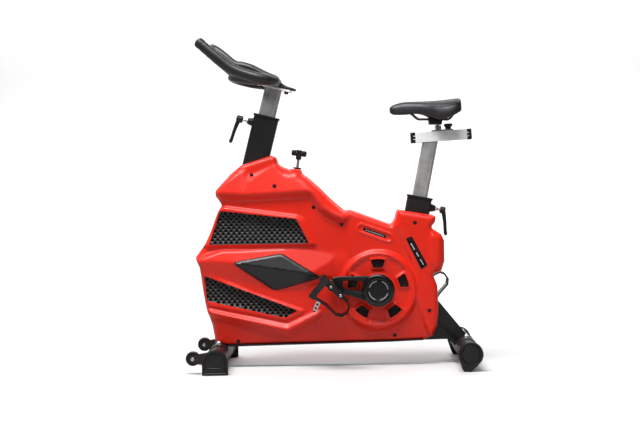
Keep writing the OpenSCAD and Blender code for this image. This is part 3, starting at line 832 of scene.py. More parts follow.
CRANK = joint_at("crank_spin")
KNOB = joint_at("brake_adjust")
KNOB_TILT = lean("brake_adjust")
HEAD_AT = (-238.5, 924.5)
SEAT_AT = (327, 616)

SHROUD = [
    (-332, 750), (-372, 718), (-427, 658), (-429, 638), (-406, 602), (-422, 578), (-450, 504),
    (-470, 462), (-508, 410), (-492, 375), (-482, 290), (-470, 223), (-450, 160), (-440, 98),
    (-393, 84), (215, 92), (340, 96), (366, 110), (381, 140), (388, 195), (385, 294), (368, 338),
    (400, 348), (412, 384), (412, 460), (402, 484), (363, 509), (380, 530), (383, 552), (243, 576),
    (232, 537), (218, 521), (66, 578), (48, 574), (-4, 620), (-45, 662), (-86, 699), (-106, 714),
    (-111, 722), (-111, 730), (-148, 735), (-154, 731), (-172, 738), (-188, 745), (-198, 754),
    (-203, 772), (-207, 779), (-222, 784)]
UPPER_WINDOW = [(-86, 458), (-132, 549), (-412, 583), (-455, 458)]
LOWER_WINDOW = [(-467, 251), (-178, 184), (-130, 211), (-475, 345)]
UPPER_FRAME = [(-50, 446), (-103, 548), (-127, 563), (-440, 607), (-520, 446)]
LOWER_FRAME = [(-520, 240), (-182, 168), (-168, 169), (-96, 205), (-106, 216), (-296, 283),
               (-432, 347), (-520, 410)]
LOBE_CREASE = [(-440, 650), (-316, 641), (-88, 652), (-68, 645), (-31, 587), (9, 561), (46, 546),
               (80, 560)]
LOBE_RIDGE = [(-440, 620), (-385, 685), (-312, 733), (-238, 771), (-180, 800)]
LOBE_FOLD = [(-300, 683), (-279, 703), (-205, 751), (-190, 760)]
WEDGE = [(-520, 405), (-465, 428), (-409, 442), (-64, 440), (17, 430), (60, 400), (60, 250),
         (-520, 200)]
WEDGE_RIDGE = [(-520, 404), (-360, 391), (-60, 342), (90, 318)]
WEDGE_END = [(30, 450), (5, 404), (-13, 386), (-65, 357), (-110, 350)]
LEDGE = [(-480, 217), (-180, 143), (-168, 142), (-24, 210)]
COLUMN = [(243, 590), (229, 515), (263, 439), (286, 387), (301, 336), (298, 247), (330, 170)]
POD = [(372, 350), (395, 352), (406, 384), (406, 458), (398, 480), (362, 500), (350, 470),
       (350, 380)]
PILL = ((108, 510), (206, 474))
PLAQUE = [(270, 470), (325, 355), (348, 372), (292, 479)]
PLAQUE_MIDDLE = np.array((311.0, 413.0))
PLAQUE_LIE = math.atan2(-98, 56)
DIAMOND = [(-364, 388), (-358, 380), (-226, 289), (-206, 285), (-54, 326), (-46, 333), (-52, 340),
           (-182, 421), (-200, 422), (-357, 397)]
SCREWS = [(-293, 713), (-209, 671), (-67, 590), (35, 527), (305, 528), (353, 204), (225, 113),
          (-354, 98)]
SCREW_R = 7.4
RING_R = 132
RING_HOLLOW = (58, 118)
HUB_HOLE_R = 30
WINDOW_R = (80, 113)
WINDOW_HALF = (17, 27)
SEAM = 0.5
SHELL = 3.0
TUBE_HALF = 25
ROD_HOLE_R = 11
# how far the shell's features stand out from the middle plane
FLOOR_OUT, COLUMN_OUT, POD_OUT = 70, 81, 88
LOBE_OUT, WEDGE_OUT, LEDGE_OUT = 88, 91, 87
RING_OUT, RING_INNER, RING_FLOOR = 87, 83, 78.5
UPPER_FRAME_OUT, LOWER_FRAME_OUT = 77, 78


def ring_window(i, grow=0.0):
    """One of the windows round the crank: narrow inside, wide and round outside."""
    low, high = WINDOW_R[0] - grow, WINDOW_R[1] + grow
    half_low, half_high = WINDOW_HALF[0] + grow, WINDOW_HALF[1] + grow
    spread = math.asin(half_high / high)
    arc = [(high * math.sin(a), high * math.cos(a)) for a in np.linspace(spread, -spread, 9)]
    points = [(half_low, low)] + arc + [(-half_low, low)]
    turn = math.radians(72 * i)
    return [(CRANK[0] + x * math.cos(turn) - z * math.sin(turn),
             CRANK[1] + x * math.sin(turn) + z * math.cos(turn)) for x, z in points]


def capsule_depth(points, ends):
    a, b = np.array(ends[0], float), np.array(ends[1], float)
    t = np.clip((points - a) @ (b - a) / ((b - a) @ (b - a)), 0, 1)
    gap = points - a - t[:, None] * (b - a)
    return np.hypot(gap[:, 0], gap[:, 1])


def lobe_height(p):
    """The swelling over the front, with two folds towards its upper front edge."""
    over = line_distance(p, LOBE_CREASE)
    lobe = np.where(over > 0, LOBE_OUT - 0.21 * over, LOBE_OUT + 0.95 * over)
    lobe -= 0.5 * np.maximum(line_distance(p, LOBE_RIDGE), 0)
    beyond = np.maximum(line_distance(p, LOBE_FOLD), 0)
    lobe -= 0.4 * np.minimum(beyond, 30) * ramp((p[:, 0] + 330) / 40) * ramp((-180 - p[:, 0]) / 20)
    return lobe - 0.5 * np.maximum(p[:, 0] - 40, 0)


def wedge_height(p):
    """The arrow across the middle, with a ridge along it."""
    wedge = WEDGE_OUT - 0.3 * np.abs(line_distance(p, WEDGE_RIDGE))
    wedge = np.minimum(wedge, 62 + 1.6 * depth_in(p, WEDGE))
    return wedge - 0.35 * np.maximum(line_distance(p, WEDGE_END), 0) * ramp((p[:, 0] + 110) / 60)


def ledge_height(p):
    over = line_distance(p, LEDGE)
    width = 14 + 14 * ramp((p[:, 0] + 460) / 280)
    ledge = np.where(over > 0, LEDGE_OUT - 22 * over / width, LEDGE_OUT + 0.9 * over)
    return ledge - 20 * ramp((p[:, 0] + 70) / 60)


def ring_height(away):
    ring = np.where(away < RING_R + 4, RING_OUT, RING_OUT - 1.3 * (away - RING_R - 4))
    return np.where(away < RING_R - 5, RING_INNER, ring)


def shroud_height(p):
    """Half width of the shell's face at points of the side view, before its edges are rounded."""
    x, z = p[:, 0], p[:, 1]
    front, upper = ramp((60 - x) / 14), ramp((z - 380) / 60)
    floor = FLOOR_OUT - 6 * upper * front + 3 * ramp((x - 60) / 14) * upper
    floor = floor - 0.13 * np.maximum(200 - z, 0)
    rim_up, rim_low = depth_in(p, UPPER_FRAME), depth_in(p, LOWER_FRAME)
    frame_up = np.minimum(UPPER_FRAME_OUT, 62 + 1.7 * rim_up) - 0.3 * np.maximum(rim_up - 9, 0)
    frame_low = np.minimum(LOWER_FRAME_OUT, 64 + 1.7 * rim_low) - 0.3 * np.maximum(rim_low - 9, 0)
    away = np.hypot(x - CRANK[0], z - CRANK[1])
    column = np.minimum(COLUMN_OUT, 71 + 1.1 * line_distance(p, COLUMN))
    pod = np.minimum(POD_OUT, 76 + 0.9 * depth_in(p, POD))
    height = np.maximum.reduce([floor, lobe_height(p), frame_up, wedge_height(p), frame_low,
                                ledge_height(p), ring_height(away), column, pod])
    height = np.where((away > RING_HOLLOW[0]) & (away < RING_HOLLOW[1]), RING_FLOOR, height)
    for i in range(5):
        rim = depth_in(p, ring_window(i, 8))
        raised = RING_FLOOR + 2.5 * np.clip(rim, 0, 2.6)
        height = np.where((rim > 0) & (away < 124), np.maximum(height, raised), height)
    pill = capsule_depth(p, PILL)
    return height + 4 * ramp((21 - pill) / 4) * ramp((pill - 10) / 3) - 1.5 * ramp((12 - pill) / 2)


def shoulder(p):
    """Radius of the shell's edge: broad along the lobe's back and tight along the floor."""
    x, z = p[:, 0], p[:, 1]
    back = ramp((z - 545) / 40) * ramp((x + 210) / 40) * ramp((75 - x) / 30)
    return 19 + 20 * back - 9 * ramp((125 - z) / 30)


def edge_drop(p, outline):
    """How far the rounding of the shell's edge takes its face in."""
    return fillet_drop(depth_in(p, outline), shoulder(p))


def axis_gap(p, at, tilt):
    """Distance in the side view from an axis that leans back by tilt."""
    return np.abs((p[:, 0] - at[0]) * math.cos(tilt) - (p[:, 1] - at[1]) * math.sin(tilt))


def wall_stop(p):
    """Where the shell's edge wall ends: at the seam, or beside a tube or rod that passes."""
    stop = np.full(len(p), SEAM)
    top = p[:, 1] > 480
    for at, tilt in ((HEAD_AT, HEAD_TILT), (SEAT_AT, SEAT_TILT)):
        stop[top & (axis_gap(p, at, tilt) < 48)] = TUBE_HALF + 1
    rod = axis_gap(p, KNOB, KNOB_TILT)
    near = top & (rod < ROD_HOLE_R)
    stop[near] = np.sqrt(ROD_HOLE_R ** 2 - rod[near] ** 2) + 0.5
    return stop


def shroud_holes():
    holes = [rounded_loop(UPPER_WINDOW, 5, 4), rounded_loop(LOWER_WINDOW, 5, 4)]
    holes += [rounded_loop(ring_window(i), 3, 2.5) for i in range(5)]
    return holes + [circle(CRANK, HUB_HOLE_R, 48)]


def shroud_dots(outline):
    dots = edge_rows(outline, (0.35, 1.3, 3, 5.6, 9, 13.5))
    dots += [circle(CRANK, r, int(2 * math.pi * r / 3.5))
             for r in (118, 121, 126.5, 129, 132, 136.5, 140)]
    dots += [resample(np.array(ring_window(i, g)), 3) for i in range(5) for g in (2.5, 5, 8)]
    a, b = np.array(PILL[0], float), np.array(PILL[1], float)
    across = np.array([a[1] - b[1], b[0] - a[0]]) / np.linalg.norm(b - a)
    for g in (10, 12, 14, 17, 21):
        dots += [densify([a + s * across * g, b + s * across * g], 4) for s in (-1, 1)]
        dots += [circle(end, g, 24) for end in (a, b)]
    dots += [circle(s, r, 24) for s in SCREWS for r in (8, 10.5)]
    centres = np.array(SCREWS, float)
    gaps = [np.linalg.norm(d[:, None] - centres, axis=2).min(axis=1) for d in dots]
    return [d[gap > 7] for d, gap in zip(dots, gaps)]


def half_shell():
    """Vertices and faces of the left half: face, wall down to the seam, lips round the windows."""
    outline = rounded_loop(SHROUD, 9, 5)
    holes = shroud_holes()
    screw_holes = [circle(s, SCREW_R, 20) for s in SCREWS]
    creases = (LOBE_CREASE[1:7], WEDGE_RIDGE[1:3], LEDGE[1:3], COLUMN[1:6], UPPER_FRAME[:3],
               LOWER_FRAME[2:7], WEDGE[2:5], LOBE_RIDGE[1:4])
    lines = [densify(line, 4) for line in creases]
    lines = [line[depth_in(line, outline) > 6] for line in lines]
    verts, tris = triangulate(outline, holes + screw_holes, lines, shroud_dots(outline), 4.4)
    height = smooth_heights(shroud_height(verts), tris, 2)
    height -= edge_drop(verts, outline)
    stop = wall_stop(verts)

    points, faces = set_out(verts, height), as_faces(tris)
    for loop in boundary_loops(tris):
        ring = verts[loop]
        edge, foot = height[loop], stop[loop]
        is_screw = np.ptp(ring[:, 0]) < 3 * SCREW_R
        if np.ptp(ring[:, 0]) > 700:
            levels = [edge * w + foot * (1 - w) for w in (0.75, 0.4, 0.05, 0)]
        elif is_screw:
            levels = [edge - 0.8, edge - 6]
        else:
            levels = [edge - 1, edge - 9]
        previous = list(loop)
        for level in levels:
            base = len(points)
            points += set_out(ring, level)
            current = list(range(base, base + len(loop)))
            for k in range(len(loop)):
                n = (k + 1) % len(loop)
                faces.append((previous[n], previous[k], current[k], current[n]))
            previous = current
        if is_screw:
            faces.append(tuple(reversed(previous)))
    return points, faces


def shroud():
    points, faces = half_shell()
    for node, side in (("shroud_left", LEFT), ("shroud_right", RIGHT)):
        skin = placed_mesh(node + "_shell", points, faces, side, RED, 50)
        stand_for(thickened(skin, SHELL), node)


GRILLE_BACK = 9.0
SHADE_SHEET_BACK = 19
HOLE_R = 5.3
HOLE_PITCH = (20.0, 10.7)


def grille_holes(window):
    """Round holes in staggered rows, whole ones only."""
    low, high = window.min(0), window.max(0)
    holes = []
    for j, z in enumerate(np.arange(low[1] - 4, high[1] + 4, HOLE_PITCH[1])):
        for x in np.arange(low[0] - 10 + (HOLE_PITCH[0] / 2 if j % 2 else 0), high[0] + 10,
                           HOLE_PITCH[0]):
            if depth_in(np.array([[x, z]]), window)[0] > HOLE_R * 0.2:
                holes.append(circle((x, z), HOLE_R, 12))
    return holes


def window_sheet(window, outline, step, reach, clear, mesh_step, behind, punched):
    """A sheet behind a window that follows the shell's face and reaches past the window's edge."""
    edge = rounded_loop(window, 5, step)
    rim = resample(edge_rows(edge, [-reach])[0], step)
    rim = rim[depth_in(rim, outline) > clear]
    verts, tris = triangulate(rim, grille_holes(edge) if punched else [], [], [], mesh_step)
    face = shroud_height(verts) if punched else np.minimum(shroud_height(verts), 74)
    level = face - edge_drop(verts, outline) - behind
    return set_out(verts, level), as_faces(tris)


def thickened(obj, thickness):
    wall = obj.modifiers.new("wall", "SOLIDIFY")
    wall.thickness = thickness * MM
    wall.offset = -1
    return obj


def grilles():
    """Punched sheets behind the four windows, and near-black sheets behind them as painted shade for the dark
    inside of the shell.
    """
    outline = rounded_loop(SHROUD, 9, 8)
    front, back = [], []
    for (move, mirrored), window in itertools.product((LEFT, RIGHT), (UPPER_WINDOW, LOWER_WINDOW)):
        for kind, how in ((front, (6, HOLE_R * 1.6 + 3, 5.5, 8, GRILLE_BACK, True)),
                          (back, (8, 8, 6, 14, SHADE_SHEET_BACK, False))):
            points, faces = window_sheet(window, outline, *how)
            kind.append((move(np.array(points)), [f[::-1] for f in faces] if mirrored else faces))
    sheet = thickened(placed_mesh("grille_sheets", *gathered(front), LEFT, GRILLE, 60), 1.6)
    stand_for(sheet, "grilles")
    # the unpunched sheets behind the grilles are painted shade for the dark inside of the shell
    shade_sheet = thickened(placed_mesh("grille_shade_sheets", *gathered(back), LEFT, SHADE_SHEET, 60), 1.0)
    trim_on(shade_sheet, "grilles")


def ring_shade_discs():
    """A near-black disc on each side behind the windows round the crank: painted shade for the dark inside of the
    shell.
    """
    sides, parts = 64, []
    outer, inner = circle(CRANK, 117, sides), circle(CRANK, 34, sides)
    rows = ((outer, 72.5), (inner, 72.5), (inner, 70.5), (outer, 70.5))
    for _, sign in SIDES:
        points = [(x, sign * y, z) for loop, y in rows for x, z in loop]
        joins = ring_joins(sides, 4)
        joins += [(sides * 3 + k, sides * 3 + (k + 1) % sides, (k + 1) % sides, k)
                  for k in range(sides)]
        parts.append((points, joins))
    stand_for(solid("crank_window_shade_discs", parts, SHADE_SHEET), "ring_backings")


def diamond_height(p):
    return shroud_height(p) + 1 + 4.5 * ramp(depth_in(p, np.array(DIAMOND, float)) / 9)


def both_halves(make, node):
    """Makes a piece on the left and its mirror on the right; the first stands for the node."""
    stand_for(make("left", LEFT), node)
    trim_on(make("right", RIGHT), node)


def diamond(word, side):
    outline = rounded_loop(DIAMOND, 3.5, 4)
    ridge = densify([(-345, 389), (-70, 344)], 6)
    return relief("diamond_" + word, outline, [], diamond_height,
                  lambda p: shroud_height(p) - 4, 2.5, GLOSS_PANEL, side, 6, [ridge])


def screw_heads():
    sides, parts = 18, []
    outline = rounded_loop(SHROUD, 9, 8)
    places = np.array(SCREWS, float)
    levels = shroud_height(places) - edge_drop(places, outline)
    for place, level in zip(SCREWS, levels):
        rings = ((6.8, level - 5.6), (6.8, level - 2.6), (6.0, level - 2.0), (2.6, level - 2.0),
                 (2.2, level - 3.6))
        for _, sign in SIDES:
            points = [(x, sign * y, z) for r, y in rings for x, z in circle(place, r, sides)]
            parts.append((points, capped(sides, len(rings))))
    stand_for(solid("screw_heads", parts, PLASTIC), "shroud_screws")


def pill(word, side):
    a, b = np.array(PILL[0], float), np.array(PILL[1], float)
    along = (b - a) / np.linalg.norm(b - a)
    lie = math.atan2(along[1], along[0])
    a, b = a + 11 * along, b - 11 * along
    ends = [(b, lie - math.pi / 2), (a, lie + math.pi / 2)]
    outline = np.array([c + 8 * np.array([math.cos(t), math.sin(t)])
                        for c, start in ends for t in np.linspace(start, start + math.pi, 14)])
    badge = relief("pill_badge_" + word, outline, [], lambda p: shroud_height(p) + 0.6,
                   lambda p: shroud_height(p) - 3, 1.2, GLOSS, side, 5)
    middle = (a + b) / 2
    level = float(shroud_height(np.array([middle]))[0]) + 0.7
    marks = [dash(middle + along * (k - 4) * 8, along, 2.2, 1.5, level, level + 0.5)
             for k in range(9)]
    trim_on(solid("pill_marks_" + word, marks, PRINT, side=side), "badges")
    return badge


def plaque(word, side):
    outline = rounded_loop(PLAQUE, 3, 4)
    dish = rounded_loop(inner_frame(PLAQUE, 4.5), 2, 3)
    trim_on(relief("plaque_" + word, outline, [],
                   lambda p: shroud_height(p) + 1.6 - 1.1 * ramp(depth_in(p, dish) / 1.5),
                   lambda p: shroud_height(p) - 3, 1.0, GLOSS, side, 4, [dish]), "badges")
    along = np.array([math.cos(PLAQUE_LIE), math.sin(PLAQUE_LIE)])
    marks = [dash(PLAQUE_MIDDLE + along * at, along, long, 1.6, 80.6, 81.9)
             for at, long in ((-32, 14), (2, 9), (34, 12))]
    trim_on(solid("plaque_marks_" + word, marks, PRINT, side=side), "badges")


def inner_frame(points, d):
    """The closed outline taken in by d."""
    out = []
    for i in range(len(points)):
        before, here, after = (np.array(points[(i + k) % len(points)], float) for k in (-1, 0, 1))
        e = (here - before) / np.linalg.norm(here - before)
        f = (after - here) / np.linalg.norm(after - here)
        m, k = np.array([-e[1], e[0]]), np.array([-f[1], f[0]])
        out.append(tuple(here + d * (m + k) / (1 + m @ k)))
    return out


# ---------------------------------------------------------------- frame, feet and wheels

FRONT_BAR = (-424.0, 50.0)
REAR_BAR = (487.0, 62.0)
BAR_R = 38.0
WHEEL_AT = (-506.0, 57.0)
WHEEL_Y = 215.0
BOLT_Y = 82.0
TUBE_RING_Y, SLEEVE_Y = 128, 229
FOOT_END, FOOT_BACK = 260, 240


def frame_tubes():
    for node in ("base_beam", "main_tube", "rear_strut", "head_tube", "seat_tube", "fork",
                 "bottom_bracket"):
        softened(node, 1.6, FRAME_PAINT)
    for node in ("head_collar", "seat_collar"):
        softened(node, 2.2, PLASTIC, 3)
    shell_floor()


def shell_floor():
    """The dark plate along the beam that closes the shell from below."""
    edge = [(-385, 79.5), (215, 89.2), (330, 93.4), (330, 97), (215, 93.5), (-385, 85.5)]
    points = [(x, y, z) for y in (-63, 63) for x, z in edge]
    plate = solid("shell_floor", [(points, capped(len(edge), 2))], FRAME_PAINT)
    trim_on(plate, "base_beam")


def cross_tubes():
    for node in ("front_stabilizer", "rear_stabilizer"):
        softened(node, 0.8, BAR_PAINT)
    for word, (x, z) in (("front", FRONT_BAR), ("rear", REAR_BAR)):
        saddles(word, x, z)
        for side, sign in SIDES:
            ring = [(BAR_R - 1, 0), (BAR_R + 1.6, 0), (BAR_R + 1.6, 5), (BAR_R - 1, 5)]
            trim_on(turned("tube_ring_%s_%s" % (word, side), (x, sign * TUBE_RING_Y, z),
                           (0, sign, 0),
                           eased(ring, 0.8), FRAME_PAINT, 56), word + "_stabilizer")


def saddles(word, x, z):
    """Curved plates on the cross tube, which the domed nuts hold down."""
    parts = []
    for sign in (-1, 1):
        points, faces = [], []
        turns = np.radians(np.linspace(28, 152, 19))
        for y in (44, 46, 106, 108):
            out = 3.4 if y in (46, 106) else 2.4
            for t in turns:
                for r in (BAR_R - 0.5, BAR_R + out):
                    points.append((x + r * math.cos(t), sign * y, z + r * math.sin(t)))
        n = 2 * len(turns)
        for row in range(3):
            for k in range(len(turns) - 1):
                a = row * n + 2 * k
                faces += [(a, a + 2, a + 2 + n, a + n), (a + 1, a + 3, a + 3 + n, a + 1 + n)]
            for end in (0, n - 2):
                a = row * n + end
                faces.append((a, a + 1, a + 1 + n, a + n))
        for row in (0, 3):
            for k in range(len(turns) - 1):
                a = row * n + 2 * k
                faces.append((a, a + 1, a + 3, a + 2))
        parts.append((points, faces))
    trim_on(solid("tube_saddles_" + word, parts, FRAME_PAINT), word + "_stabilizer", "frame_paint")


def dome_nuts():
    """Hexagonal nuts with domed ends on washers."""
    parts = []
    for (x, z), sign in itertools.product((FRONT_BAR, REAR_BAR), (-1, 1)):
        base = z + BAR_R - 1
        washer = [(11, base + 1), (11, base + 6), (10.4, base + 7)]
        hexagon = [(9.2, base + 6.5), (9.2, base + 11.5), (8.3, base + 12.5)]
        dome = [(7.4 * math.cos(a), base + 11.5 + 6.4 * math.sin(a))
                for a in np.linspace(0, 1.45, 7)]
        for rings, sides in ((washer, 24), (hexagon, 6), (dome, 24)):
            parts.append(stack(x, sign * BOLT_Y, rings, sides))
    stand_for(solid("dome_nuts", parts, STEEL), "stabilizer_bolts")


def stack(x, y, rings, sides):
    """A closed upright solid from (radius, height) rings."""
    turns = [2 * math.pi * k / sides for k in range(sides)]
    points = [(x + r * math.cos(a), y + r * math.sin(a), h) for r, h in rings for a in turns]
    return points, capped(sides, len(rings))


def front_foot(word, side):
    turn = np.radians(np.linspace(0, 180, 33))
    arch = np.array([(-424.5 + 46.5 * math.cos(t), 44 + 47 * math.sin(t)) for t in turn])
    outline = resample(np.vstack([arch, [(-471, 3), (-468, 0), (-381, 0), (-378, 3)]]), 4)
    inner = resample(edge_rows(outline, [8])[0], 4)
    rim = densify([(-456, 17), (-393, 17)], 4)

    def face(p):
        sunk = 4.5 * ramp(depth_in(p, inner) / 1.5)
        step = 2.5 * ramp((2.6 - np.abs(p[:, 1] - 17)) / 1.4) * (depth_in(p, inner) > 0.5)
        return FOOT_END - sunk + step
    return relief("front_foot_" + word, outline, [], face, FOOT_BACK, 3, WHEEL, side, 4,
                  [inner[inner[:, 1] > 22], rim])


def rear_foot(word, side):
    turn = np.radians(np.linspace(-48, 205, 46))
    cap = [(REAR_BAR[0] + 45 * math.cos(t), REAR_BAR[1] + 45 * math.sin(t)) for t in turn]
    outline = resample(np.array(cap + [(453, 22), (459, 6), (464, 0), (486, 0), (492, 5),
                                       (506, 17)]), 4)
    centre = np.array(REAR_BAR)
    rings = [circle(centre, r, 72) for r in (31, 33, 35, 37)]

    def face(p):
        away = np.hypot(*(p - centre).T)
        groove = 3.5 * ramp((37 - away) / 2) - 2.0 * ramp((33 - away) / 2)
        return FOOT_END - groove - 3 * ramp((away - 45) / 4)
    return relief("rear_foot_" + word, outline, [], face, FOOT_BACK, 3.5, WHEEL, side, 5, rings)


def foot_sleeves():
    """The part of each foot cap that goes over the end of the cross tube."""
    for word, (x, z) in (("front", FRONT_BAR), ("rear", REAR_BAR)):
        for side, sign in SIDES:
            sleeve = [(BAR_R - 0.5, 0), (BAR_R + 3.4, 0), (BAR_R + 4.4, 12), (BAR_R - 0.5, 12)]
            trim_on(turned("foot_sleeve_%s_%s" % (word, side), (x, sign * SLEEVE_Y, z),
                           (0, sign, 0),
                           eased(sleeve, 1.2), WHEEL, 56), word + "_feet")


def wheels():
    half = [(0, 9), (7, 9), (8.5, 7.5), (19, 7.5), (20.5, 9.6), (23.5, 9.6), (26, 7), (26.3, 0)]
    profile = half + [(r, -y) for r, y in half[::-1][1:]]
    for word, sign in SIDES:
        at = (WHEEL_AT[0], sign * WHEEL_Y, WHEEL_AT[1])
        stand_for(turned("roller_" + word, at, (0, 1, 0), profile, WHEEL, 48, 30), "wheel_" + word)
    parts = []
    for _, sign in SIDES:
        for place, way, span in ((WHEEL_Y + 15, 1, 9), (WHEEL_Y - 15, -1, 7)):
            rings = [(7.2, 0), (7.2, span * 0.5), (6.2, span * 0.85), (3.4, span),
                     (3.0, span * 0.6)]
            points = wheel_rings([(r, sign * (place + way * t)) for r, t in rings])
            parts.append((points, capped(24, len(rings))))
        pin = [(4, sign * (WHEEL_Y + y)) for y in (-18, 18)]
        parts.append((wheel_rings(pin), ring_joins(24, 2)))
    stand_for(solid("roller_bolts", parts, STEEL), "wheel_bolts")


def wheel_rings(rings):
    """Points of (radius, y) rings round the transport wheels' axis."""
    turns = np.linspace(0, 2 * math.pi, 24, endpoint=False)
    return [(WHEEL_AT[0] + r * math.cos(a), y, WHEEL_AT[1] + r * math.sin(a))
            for r, y in rings for a in turns]


# ---------------------------------------------------------------- levers and brake knob

def lever(node, start, direction, boss, head, arm_end):
    """Boss, plated stud, and a handle whose arm swells at its tip. start is (x, z) on the tube."""
    d, at = in_plane(direction).normalized(), in_plane(start)
    cone = [(0, 0), (15.5, 0), (15, 3), (11.5, boss - 3), (10.5, boss), (0, boss)]
    stand_for(turned(node + "_boss", at, d, eased(cone, 1.5), PLASTIC, 40), node)
    stud = [(0, 0), (7.2, 0), (7.2, 8), (5.2, 9), (5.2, 22), (0, 22)]
    trim_on(turned(node + "_stud", at + d * (boss - 2), d, eased(stud, 0.7), STEEL, 32), node,
            "steel")
    near, far = boss + 17.5, boss + head
    cap = [(0, near), (11.5, near), (13, near + 3), (13, far - 4), (10, far), (5, far),
           (4.4, far - 2.5), (0, far - 2.5)]
    trim_on(turned(node + "_hub", at, d, eased(cap, 1.2), PLASTIC, 40), node)
    middle = at + d * ((near + far) / 2 + 1)
    tip = in_plane(arm_end)
    down = (tip - middle).normalized()
    length = (tip - middle).length
    bow = d * 1.8
    path = [(*(middle - down * 2), 9.0), (*(middle + down * length * 0.2 + bow), 7.8),
            (*(middle + down * length * 0.5 + bow), 6.6), (*(middle + down * length * 0.8), 6.2),
            (*(middle + down * length * 0.93), 7.2), (*(tip - down * 5), 6.6)]
    trim_on(bar(node + "_arm", path, PLASTIC, sides=24), node)


def levers():
    """The front lever points forward from the head tube, the rear one back from the seat tube."""
    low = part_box("front_lever")[0]
    lever("front_lever", tilted(HEAD_AT, HEAD_TILT, -46.3, -27),
          (-math.cos(HEAD_TILT), math.sin(HEAD_TILT)), 20, 42, (low[0] / MM + 9, low[2] / MM + 0.5))
    low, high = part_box("rear_lever")
    lever("rear_lever", tilted(SEAT_AT, SEAT_TILT, 45.8, -27),
          (math.cos(SEAT_TILT), -math.sin(SEAT_TILT)), 19, 38,
          (high[0] / MM - 8.5, low[2] / MM + 0.5))


def brake():
    softened("brake_rod", 0.6, STEEL)
    softened("knob_grommet", 1.4, PLASTIC, 3)
    softened("brake_guide", 0.6, FRAME_PAINT)
    softened("brake_shoe", 0.8, RUBBER)
    axis = Vector((math.sin(KNOB_TILT), 0, math.cos(KNOB_TILT)))
    at = in_plane(KNOB)
    core = [(5.3, -22), (8.5, -22), (10.5, -18), (10.5, -10), (11.5, -8), (11.5, 10), (10, 14),
            (0, 15)]
    u = axis.cross(Vector((0, 1, 0))).normalized()
    stand_for(turned("brake_knob_hub", at, axis, eased(core, 1.5), PLASTIC, 40), "brake_knob")
    wing = [(*(at + u * s + axis * 2), r)
            for s, r in ((-17, 7.5), (-9, 8.4), (0, 9), (9, 8.4), (17, 7.5))]
    trim_on(bar("brake_knob_wings", wing, PLASTIC, sides=24), "brake_knob")
    lobe = eased([(0, -9), (7, -9), (9.3, -6), (10, 0), (9.6, 8), (7, 12.4), (0, 13)], 2)
    for k, s in enumerate((-18.5, 18.5)):
        trim_on(turned("brake_knob_lobe_%d" % k, at + u * s, axis, lobe, PLASTIC, 32), "brake_knob")


# ---------------------------------------------------------------- cranks and pedals

ARM = [(-10, 300), (-9, 322), (0, 334), (28, 337), (118, 337), (150, 334), (216, 300), (216, 268),
       (186, 238), (146, 238), (107, 250), (30, 275), (2, 282)]
ARM_WINDOW = [(36, 292), (104, 283), (108, 318), (36, 321)]
ARM_FRONT = 110.0
ARM_BACK = 94.0
EYE_FROM_CRANK = np.array((-170.6, 21.85))
EYE_Y = 108.2
COVER_Y = 110.2


def crank_arm(node, side):
    outline = rounded_loop(ARM[::-1], 14, 4)
    hole = rounded_loop(ARM_WINDOW, 5, 3)

    def face(p):
        rib = np.minimum(depth_in(p, outline), -depth_in(p, hole))
        return ARM_FRONT - 0.2 - 1.8 * ramp((rib - 6) / 3)
    arm = relief(node + "_look", outline, [hole], face, ARM_BACK, 3.2, GLOSS_PANEL, side, 5)
    stand_for(arm, node)
    eye = [(6.2, -14.4), (17, -14.4), (18.8, -12), (18.8, 0.4), (17, 2), (6.2, 2)]
    way = -1 if side is OPPOSITE else 1
    x, z = CRANK + way * EYE_FROM_CRANK
    trim_on(turned(node + "_eye", (x, -way * EYE_Y, z), (0, -way, 0), eased(eye + eye[:1], 1),
                   GLOSS), node)


def crank_caps():
    """Deep round covers with four plated arcs let into the face."""
    profile = [(12, 0), (59, 0), (60, 2), (60, 6), (59, 9), (56, 11.6), (51, 13.2), (44, 13.6),
               (41, 13.2), (40, 12), (30, 12.6), (29.4, 12), (0, 12)]
    for word, sign in SIDES:
        cover = turned("crank_cover_" + word, (CRANK[0], sign * COVER_Y, CRANK[1]), (0, sign, 0),
                       profile, GLOSS, 96)
        (stand_for if word == "left" else trim_on)(cover, "crank_caps")
        parts = []
        out = sign * (COVER_Y + 13.1)
        sunk = out - sign * 1.5
        for start in (8, 100, 188, 280):
            turns = np.radians(np.linspace(start, start + 62, 18))
            points = [(CRANK[0] + r * math.cos(t), y, CRANK[1] + r * math.sin(t))
                      for t in turns
                      for r, y in ((33.2, sunk), (33.2, out), (36.6, out), (36.6, sunk))]
            parts.append((points, capped(4, len(turns))))
        trim_on(solid("crank_arcs_" + word, parts, CHROME), "crank_caps", "chrome")


PEDAL_Y = 172
PEDAL_TILTS = (-43, 50)


def pedals():
    for word, _ in SIDES:
        softened("pedal_" + word, 2.4, PLASTIC, 3)
        softened("toe_cage_" + word, 1.8, GLOSS, 3)
        softened("toe_strap_" + word, 0.7, STRAP)
    softened("pedal_spindles", 1.0, STEEL)
    softened("crank_spindle", 1.0, STEEL)
    for (word, sign), tilt in zip(SIDES, PEDAL_TILTS):
        pedal_details(word, sign, joint_at(word + "_pedal_spin"), math.radians(tilt))


def on_pedal(at, sign, tilt, point):
    """A place in the pedal's own frame: x to the toe, y outwards, -z to the cage."""
    x, y, z = point
    return (at[0] + x * math.cos(tilt) - z * math.sin(tilt), sign * (PEDAL_Y + y),
            at[1] + x * math.sin(tilt) + z * math.cos(tilt))


def pedal_box(at, sign, tilt, low, high):
    return box(low, high, lambda corner: on_pedal(at, sign, tilt, corner))


